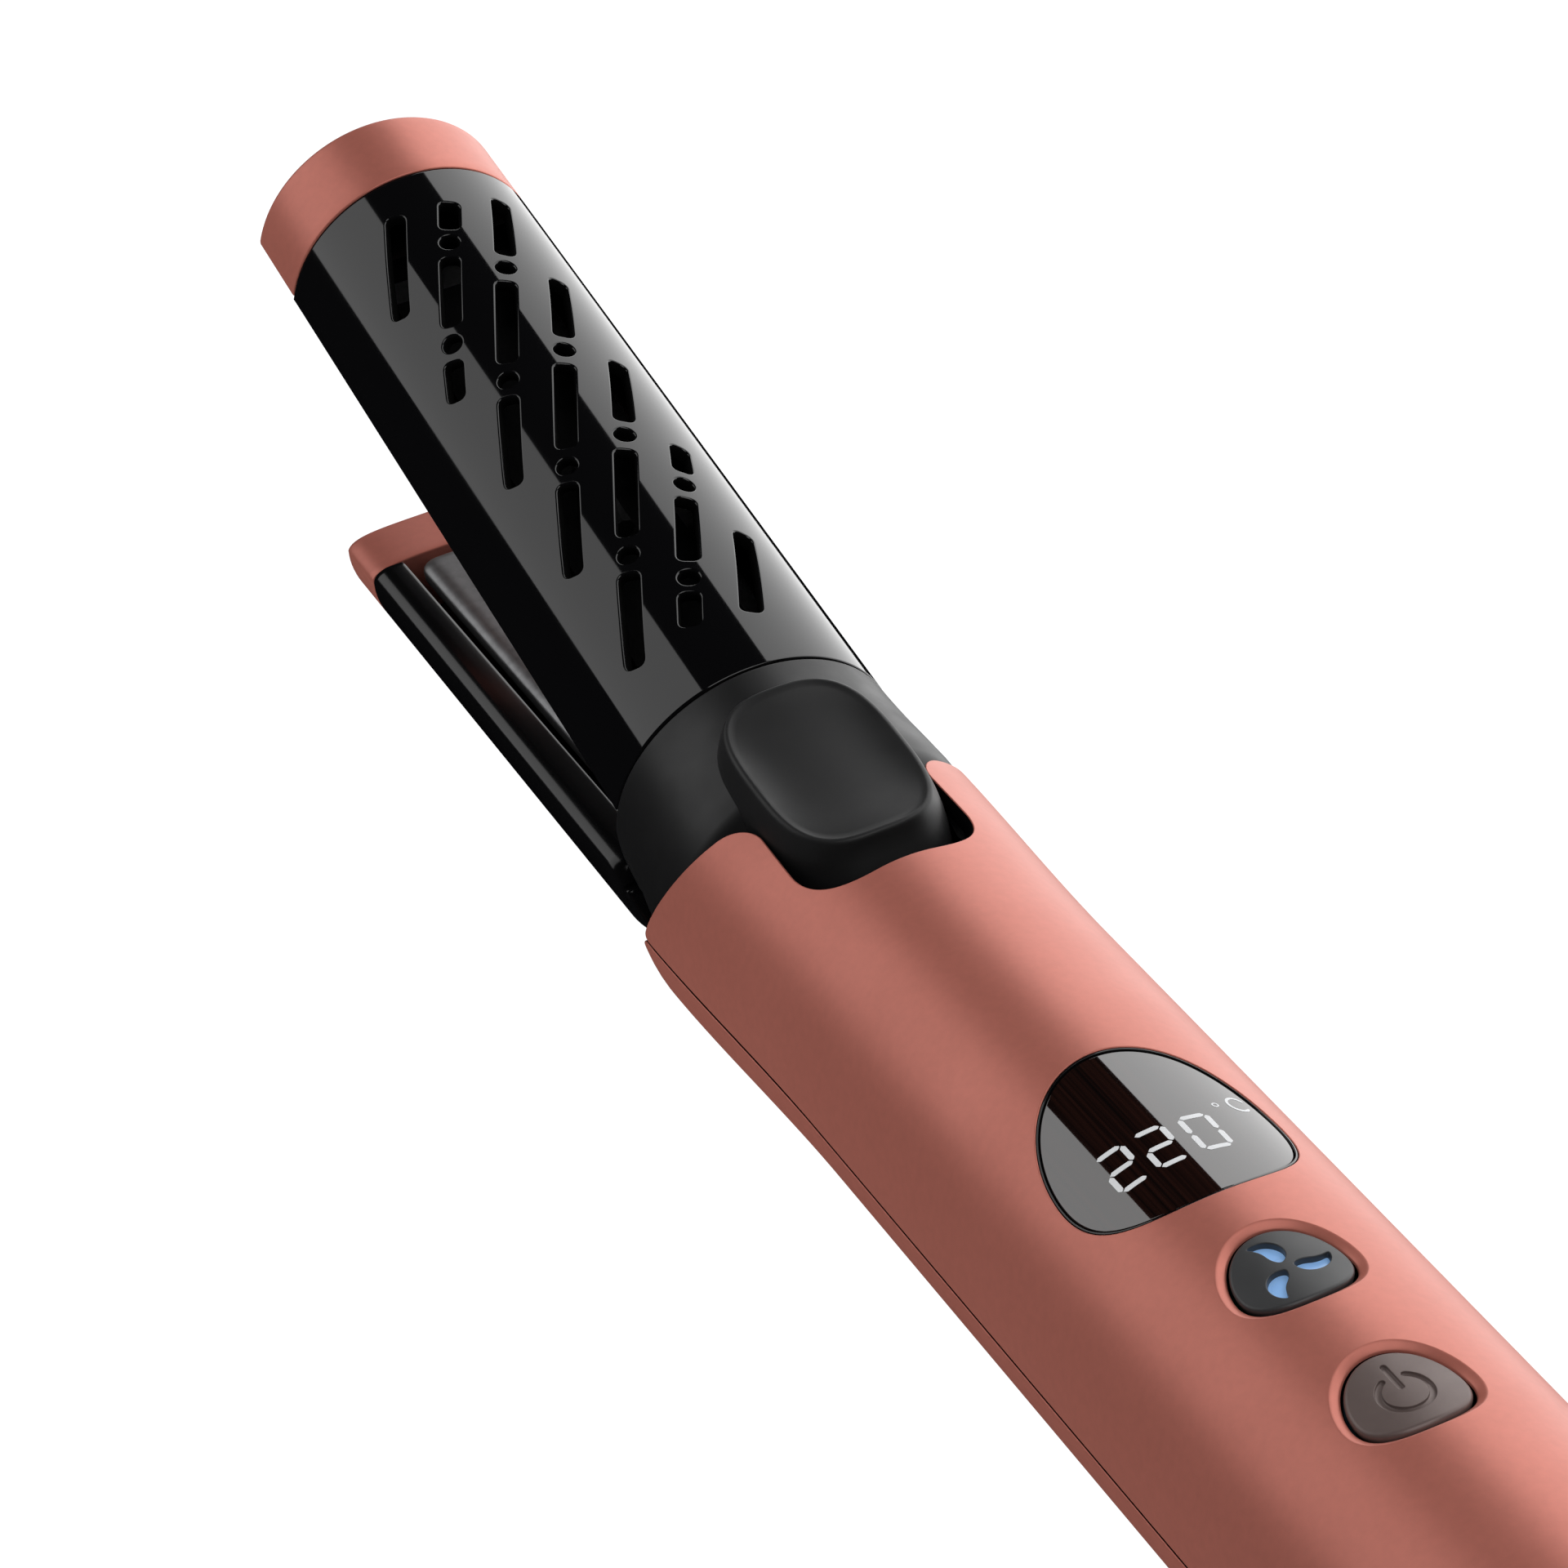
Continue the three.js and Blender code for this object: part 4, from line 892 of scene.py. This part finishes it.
# ---- Lower arm ----
ARM_ROOT = 2.0
ARM_END = 84.0
ARM_CAP = 11.2
ARM_HALF_WIDTH = 18.0
ARM_TAPER = 0.0122
ARM_DEPTH_RATIO = 0.75
ARM_WIDEST = -3.2
ARM_FACE = -0.9
ARM_RIM_DROP = 1.6
CHANNEL = 12.5
CHANNEL_FLOOR = -6.8
CORE = 10
PAD_SEAT = -8.8


def arm_half_width(x):
    return ARM_HALF_WIDTH - ARM_TAPER * (x - ARM_ROOT)


def arm_bowl(x, inset, top, count=60):
    """The outside of the arm's section, from its left rim round below to its right rim."""
    w = arm_half_width(x) - inset
    start = math.degrees(math.asin((top - ARM_WIDEST) / (w * ARM_DEPTH_RATIO)))
    angle = np.radians(np.linspace(-start, 180 + start, count))
    return np.column_stack([w * np.cos(angle), ARM_WIDEST - w * ARM_DEPTH_RATIO * np.sin(angle)])


def arm_section(x):
    """Open channel section with a rolled rim on each side."""
    bowl = arm_bowl(x, 0.0, ARM_FACE - ARM_RIM_DROP)
    right = bowl[0]
    rim_right = joined(
        bezier((CHANNEL, ARM_FACE - 0.5), (CHANNEL, ARM_FACE - 0.1), (CHANNEL + 0.1, ARM_FACE),
               (CHANNEL + 0.5, ARM_FACE), 6),
        line((CHANNEL + 0.5, ARM_FACE), (CHANNEL + 1.8, ARM_FACE), 0.5),
        bezier((CHANNEL + 1.8, ARM_FACE), (right[0] - 1.2, ARM_FACE), (right[0] - 0.1, right[1] + 0.9), right),
        closed=False)
    rim_left = rim_right[::-1] * [-1, 1]
    steps = np.array([(CHANNEL, CHANNEL_FLOOR), (CORE, CHANNEL_FLOOR), (CORE, PAD_SEAT)])
    return joined(bowl, rim_left, steps * [-1, 1], steps[::-1], rim_right)


def lower_arm_housing():
    stations = [(x, 0.0) for x in (ARM_ROOT, ARM_ROOT + 4, 20, 35, 50, 65, ARM_END - 1, ARM_END - 0.15)]
    stations.append((ARM_END, 0.12))
    build = loft([section_ring(x, shrunk(arm_section(x), inset)) for x, inset in stations])
    wrapped_shell(NECK_SURFACE, neck_outline(), wall=2.6, edge=0.4, spacing=(1.1, 1.1), build=build)
    build.piece("lower_arm_channel", HANDLE, ARM_GLOSS, "handle", "lower_arm_housing", "black_gloss")


NECK_UNDERSIDE = -16.6
NECK = [(-26, 18.2), (-12, 18.2), (-8, 18.25), (-4, 18.5), (0, 18.15), (3.4, 17.95)]
NECK_SURFACE = Surface(lambda p: flat_below(round_body(p, curve_through(NECK, p[:, 0])), NECK_UNDERSIDE, 0.6))


def neck_outline():
    x = np.linspace(-26, 3.4, 50)
    r = curve_through(NECK, x)
    cheek = curve_through(CHEEK, x + PIN_BEHIND_COLLAR) - 0.9
    top = np.where(x < 0.3, np.minimum(cheek, -3.0), -3.0)
    top = np.where((x > -23) & (x < 0.6), top, -2.4 - 0.8 * (x > 0.6))
    top = np.minimum(top, -2.4)
    low = HANDLE_RADIUS * np.arccos(np.clip(top / r, -1, 1))
    left = np.column_stack([x, low])
    return resampled(strip(left, left[::-1] * [1, -1] + [0, FULL_TURN]), 0.7)


def cap_section(x, inset):
    """Closed section of the rose cap: the arm's bowl under a flat, softly crowned top."""
    face = ARM_FACE - inset
    bowl = arm_bowl(x, inset, ARM_FACE - ARM_RIM_DROP - 0.6 * inset)
    right = bowl[0]
    top = bezier((8.0, face), (13.5, face), (right[0] - 0.8, face - 0.25), right, 18)
    loop = joined(bowl, top[::-1] * [-1, 1], line((-8.0, face), (8.0, face), 1.5), top)
    return loop if area(loop) > 0 else loop[::-1]


def lower_arm_tip_cap():
    start, end = ARM_END + FIT, ARM_END + ARM_CAP
    edge = 2.2
    stations = [(start, 0.22), (start + 0.08, 0.06), (start + 0.25, 0.0)]
    stations += [(x, 0.0) for x in np.linspace(start + 1.5, end - edge, 5)]
    stations += [(end - edge + edge * math.sin(t), edge - edge * math.cos(t))
                 for t in np.linspace(0.2, 1.5, 9)]
    build = loft([section_ring(x, cap_section(x, inset)) for x, inset in stations])
    build.piece("lower_arm_cap_skin", HANDLE, ROSE, "handle", "lower_arm_tip_cap", "rose_shell", 60)


def lower_plate():
    build = bevelled_plate(LOWER_PLATE, -2.3, -0.3, 2.2, 2.6, up=True)
    build.piece("lower_plate_coated", HANDLE, PLATE, "lower_plate", "lower_plate", "plate_coating")


def plate_pad(name, x):
    """Silicone spring between the arm's floor and the lower plate's clip."""
    low, high = PAD_SEAT + FIT, -6.4
    rounding = [(0.4, 0.0), (0.1, 0.15), (0.0, 0.4)]
    rings = [(inset, low + rise) for inset, rise in rounding]
    rings += [(inset, high - drop) for inset, drop in rounding[::-1]]
    build = loft(level_rings(bar_outline(6, 10, 1.2) + [x, 0], rings))
    piece = build.piece(f"{name}_silicone", HANDLE, SILICONE, "handle", name, "silicone", 60)
    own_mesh(piece)


# ---- Display and buttons ----
def cylinder_surface(radius):
    return Surface(lambda p: round_body(p, radius))


LENS_RADIUS = HANDLE_RADIUS - 0.28


def display():
    ring = wrapped_shell(cylinder_surface(HANDLE_RADIUS - 0.12), plectrum(DISPLAY, 0.38),
                         [(plectrum(DISPLAY, 0.16), rounded_edge(0.06, 1.7))], wall=1.7, edge=0.08,
                         spacing=(1.2, 1.2))
    ring.piece("display_bezel_ring", HANDLE, GLOSS, "handle", "display_bezel", "black_gloss")
    glass = wrapped_shell(cylinder_surface(LENS_RADIUS), plectrum(DISPLAY, 0.1), wall=1.4, edge=0.25,
                          spacing=(0.8, 0.8))
    glass.piece("display_lens_glass", HANDLE, LENS, "handle", "display_lens", "lens_glass")


DIGIT_HEIGHT = 5.9
DIGIT_WIDTH = 3.1
DIGIT_TOP_X = -102.5
SEGMENTS = {"2": "abged", "0": "abcdef"}
SEGMENT_GAP = 0.25
BAR = 0.66
READING = [("2", -6.0), ("2", -1.3), ("0", 3.9)]
DEGREE = (-100.9, -7.6)
CELSIUS = (-100.6, -10.6)


def segment_loops(symbol, centre_y):
    """Seven-segment bars, with digit tops towards the barrel; loops are in (along, round)."""
    half, width = DIGIT_HEIGHT / 2, DIGIT_WIDTH
    upright = {"f": (0, -1), "b": (0, 1), "e": (1, -1), "c": (1, 1)}
    across = {"a": 0, "g": 1, "d": 2}
    for name in SEGMENTS[symbol]:
        if name in across:
            place = (DIGIT_TOP_X - across[name] * half, -centre_y)
            yield turned_and_placed(tapered_bar(width - SEGMENT_GAP), 90, place)
        else:
            row, side = upright[name]
            place = (DIGIT_TOP_X - (row + 0.5) * half, -(centre_y + side * width / 2))
            yield turned_and_placed(tapered_bar(half - SEGMENT_GAP), 0, place)


def tapered_bar(length):
    a, b = length / 2, BAR / 2
    return resampled(np.array([(a, 0), (a - b, b), (-a + b, b), (-a, 0), (-a + b, -b), (a - b, -b)]), 0.12)


def stroke_arc(centre, radius, start, end, width, count=40):
    outer = arc(centre, radius + width / 2, start, end, count)
    inner = arc(centre, radius - width / 2, end, start, count)
    tip_end = arc(arc(centre, radius, end, end, 1)[0], width / 2, end, end + 180, 7)
    tip_start = arc(arc(centre, radius, start, start, 1)[0], width / 2, start + 180, start + 360, 7)
    return joined(outer, tip_end, inner, tip_start)


def display_digits():
    loops = [loop for symbol, y in READING for loop in segment_loops(symbol, y)]
    loops.append(stroke_arc(CELSIUS, 1.25, -50, 230, 0.34, 30))
    marks = [(resampled(loop, 0.12), ()) for loop in loops]
    degree_hole = (arc(DEGREE, 0.24, 0, 340, 18), rounded_edge(0.01, 0.12, 1, 0.02))
    marks.append((resampled(arc(DEGREE, 0.42, 0, 340, 24), 0.1), [degree_hole]))
    build = Build()
    for loop, holes in marks:
        wrapped_shell(cylinder_surface(LENS_RADIUS + 0.03), loop, holes, wall=0.12, edge=0.01,
                      spacing=(0.5, 0.5), inner=0.02, build=build)
    build.piece("display_digits_lit", HANDLE, DIGITS, "handle", None, "lens_glass")


BUTTON_RADIUS = HANDLE_RADIUS - 0.42
BLADE_CENTRE = [FAN["x"] - 0.1, 0]
BLADE_TURNS = (-22, 92, 212)
SYMBOL_WIDTH = 0.72
SYMBOL_GROOVE = [(0.07, 0), (0.02, 0.03), (0.0, 0.1), (-0.01, 0.28), (-0.07, 0.33)]


def blade(degrees):
    """One blade of the fan symbol."""
    loop = joined(
        bezier((0.65, 0.0), (0.7, 1.5), (2.1, 2.35), (3.5, 1.75), 12),
        bezier((3.5, 1.75), (4.4, 1.35), (4.95, 0.5), (4.95, -0.5), 10),
        bezier((4.95, -0.5), (4.2, -0.1), (3.4, 0.15), (2.5, -0.15), 10),
        bezier((2.5, -0.15), (1.9, -0.35), (1.3, -0.3), (0.65, 0.0), 8))
    loop = resampled(loop, 0.2)
    for _ in range(4):
        loop = (np.roll(loop, 1, 0) + 2 * loop + np.roll(loop, -1, 0)) / 4
    return turned_and_placed(loop, degrees, (0, 0)) * [1, -1] + BLADE_CENTRE


def fan_button():
    blades = [(blade(degrees), rounded_edge(0.12, 1.5, 3, 0.05)) for degrees in BLADE_TURNS]
    build = wrapped_shell(cylinder_surface(BUTTON_RADIUS), plectrum(FAN, 0.05), blades, wall=1.5, edge=0.45,
                          spacing=(0.6, 0.6))
    build.piece("fan_button_cap", HANDLE, GREY, "fan_button", "fan_button", "button_grey")
    window = wrapped_shell(cylinder_surface(BUTTON_RADIUS - 1.7), plectrum(FAN, -0.9), wall=0.7, edge=0.1,
                           spacing=(0.8, 0.8))
    for degrees in BLADE_TURNS:
        loop = offset_loop(blade(degrees)[::-1], 0.06)
        wrapped_shell(cylinder_surface(BUTTON_RADIUS - 0.75), loop, wall=1.1, edge=0.05,
                      spacing=(0.5, 0.5), inner=0.06, build=window)
    window.piece("fan_button_light_guide", HANDLE, WINDOW, "fan_button", "fan_button_window", "window_blue")


def power_button():
    centre = (POWER["x"] - 0.55, 0)
    ring = stroke_arc(centre, 2.65, 28, 332, SYMBOL_WIDTH, 60)
    bar = bar_outline(4.1, SYMBOL_WIDTH, SYMBOL_WIDTH / 2 - 0.01, 0.14) + [centre[0] + 2.5, 0]
    pockets = [(resampled(ring, 0.16), SYMBOL_GROOVE), (bar, SYMBOL_GROOVE)]
    build = wrapped_shell(cylinder_surface(BUTTON_RADIUS), plectrum(POWER, 0.05), pockets=pockets, wall=1.5,
                          edge=0.6, spacing=(0.45, 0.45))
    build.piece("power_button_cap", HANDLE, TAUPE, "power_button", "power_button", "button_taupe")


# ---- Tail ----
TAIL = [(-190.3, 19.8), (-193, 19.78), (-196, 19.6), (-200, 18.95), (-204, 17.9), (-208, 16.5), (-211, 15.0),
        (-213, 13.4), (-213.8, 12.3), (-214.0, 11.0)]
TAIL_SURFACE = Surface(lambda p: flat_below(round_body(p, curve_through(TAIL, p[:, 0])), UNDERSIDE, 0.25))
TAIL_WALL = 1.8
TAIL_SLOTS = 12
TAIL_SLOT_X = -200.2
TAIL_MOUTH = [(-213.9, 12.2), (-214.0, 11.2), (-213.9, 6.0), (-213.6, 5.5), (-211.6, 5.5), (-211.6, 11.0),
              (-212.6, 11.4)]


def tail_cap():
    width = FULL_TURN / TAIL_SLOTS
    build = Build()
    for i in range(TAIL_SLOTS):
        slot = bar_outline(11.4, 2.4, 1.19, 0.3) + [TAIL_SLOT_X, (i + 0.5) * width]
        x = np.linspace(TAIL_MOUTH[0][0], TAIL[0][0], 44)
        low = np.column_stack([x, np.full(len(x), i * width)])
        tail_panel(build, strip(low, low[::-1] + [0, width], 0.6), slot)
    lathe(TAIL_MOUTH, build)
    build.piece("tail_cap_slotted", HANDLE, SATIN, "handle", "tail_cap", "black_satin")


def tail_panel(build, outline, slot):
    """One of the tail's equal panels: outer face, slot walls and inner face."""
    surface = TAIL_SURFACE
    hole = slot[::-1]
    section = rounded_edge(0.35, TAIL_WALL, 3)
    first = outer_face(build, surface, [outline, offset_loop(hole, section[0][0])], (1.0, 0.9), 0.4)
    before = edge_walls(build, surface, hole, section, first + len(outline))
    grid, faces = triangles_between([outline, offset_loop(hole, section[-1][0])], (2.0, 1.6), 0.8)
    rim = build.add(surface.at(outline, np.full(len(outline), TAIL_WALL)))
    names = [np.arange(rim, rim + len(outline)), np.arange(before, before + len(hole))]
    floor_faces(build, surface, names, grid, TAIL_WALL, faces[:, ::-1])


def cord_gland():
    profile = [(-220, 2.3), (-220.0, 3.2), (-219.7, 3.8), (-219.0, 4.2), (-216.5, 4.5), (-214.4, 4.9),
               (-213.4, 5.0), (-211.0, 5.0), (-210.8, 5.2), (-210.8, 7.0), (-210.6, 7.2), (-208.8, 7.2),
               (-208.6, 7.0), (-208.6, 5.0), (-205, 5.0), (-205, 2.3)]
    lathe(profile).piece("cord_gland_swivel", HANDLE, SATIN, "cord_gland", "cord_gland", "black_satin")


# ---- Carried-over nodes ----
CARRIED = [
    (DARK_ALUMINIUM, "barrel_heater barrel_heater_clip"),
    (ALUMINIUM, "lower_heater_clip"),
    (CERAMIC, "lower_heater"),
    (STEEL, "hinge_pin hinge_bracket arm_spring fan_motor swivel_retainer"),
    (STEEL, "shell_screw_1 shell_screw_2 shell_screw_3 shell_screw_4 collar_screw_1 collar_screw_2"),
    (SATIN, "thermal_fuse display_module fan_switch power_switch impeller"),
    (BOARD, "control_board power_board"),
    (NYLON, "fan_housing"),
    (MESH, "air_filter"),
]


def dress_carried_nodes():
    for material, names in CARRIED:
        for name in names.split():
            for slot in frame["nodes"][name].material_slots:
                slot.material = material


# ---- Studio ----
FOCAL_MM = 131.25
SENSOR_MM = 36.0
CAMERA_PLACE = Vector((-0.4704, 0.1883, 0.3869))
CAMERA_RIGHT = Vector((-0.4178, -0.8991, -0.1308))
CAMERA_DOWN = Vector((-0.4519, 0.3305, -0.8286))
CAMERA_FORWARD = Vector((0.7882, -0.2870, -0.5444))


def camera():
    data = bpy.data.cameras.new("photo_camera")
    data.lens = FOCAL_MM
    data.sensor_width = SENSOR_MM
    data.clip_start, data.clip_end = 0.01, 50
    holder = bpy.data.objects.new("photo_camera", data)
    axes = Matrix((CAMERA_RIGHT, -CAMERA_DOWN, -CAMERA_FORWARD)).transposed()
    holder.matrix_world = Matrix.Translation(CAMERA_PLACE) @ axes.to_4x4()
    bpy.context.scene.collection.objects.link(holder)
    bpy.context.scene.camera = holder


def floor():
    bpy.ops.mesh.primitive_plane_add(size=30, location=(0, 0, -0.0002))
    sheet = bpy.context.object
    sheet.name = "studio_floor"
    finish = Finish("pale_floor", (0.07, 0.07, 0.07), 0.9, specular=0.1)
    finish.set("Emission Color", (1, 1, 1, 1)).set("Emission Strength", 1.05)
    sheet.data.materials.append(finish.material)
    sheet.visible_glossy = False


def softbox(name, around_deg, spread_deg, distance, x0, x1, radiance):
    """A long panel parallel to the handle, seen from it at an angle round from straight up to the right."""
    width = 2 * distance * math.tan(math.radians(spread_deg / 2))
    data = bpy.data.lights.new(name, "AREA")
    data.shape = "RECTANGLE"
    data.size = x1 - x0
    data.size_y = width
    data.energy = radiance * math.pi * data.size * data.size_y
    panel = bpy.data.objects.new(name, data)
    turn = math.radians(around_deg)
    outward = Vector((0, -math.sin(turn), math.cos(turn)))
    along = Vector((1, 0, 0))
    across = outward.cross(along)
    axes = Matrix((along, across, outward)).transposed()
    middle = Vector(((x0 + x1) / 2, 0, PIN.z)) + outward * distance
    panel.matrix_world = Matrix.Translation(middle) @ axes.to_4x4()
    bpy.context.scene.collection.objects.link(panel)
    return panel


def world():
    scene_world = bpy.data.worlds.new("studio")
    bpy.context.scene.world = scene_world
    scene_world.use_nodes = True
    background = scene_world.node_tree.nodes["Background"]
    background.inputs["Color"].default_value = (1, 1, 1, 1)
    background.inputs["Strength"].default_value = 1.0
    scene_world.cycles_visibility.glossy = False
    scene_world.cycles_visibility.diffuse = False


def studio():
    camera()
    floor()
    world()
    softbox("left_panel", -42, 54, 1.1, 0.48, 2.1, 1.3)
    softbox("right_panel", 77, 92, 1.1, -0.4, 2.6, 2.0)
    softbox("rear_panel", 9, 48, 1.1, -1.7, -0.3, 1.8)
    fill = softbox("left_fill", -60, 90, 1.1, -0.5, 1.6, 0.32)
    fill.visible_glossy = False
    bpy.context.scene.view_settings.view_transform = "Standard"


# ---- Build ----
studio()
upper_shell()
lower_shell()
barrel_shell()
barrel_tip_cap()
barrel_plate()
barrel_base()
collar()
thumb_pad()
lower_arm_housing()
lower_arm_tip_cap()
lower_plate()
for pad, pad_x in PLATE_PADS.items():
    plate_pad(pad, pad_x)
display()
display_digits()
fan_button()
power_button()
tail_cap()
cord_gland()
dress_carried_nodes()
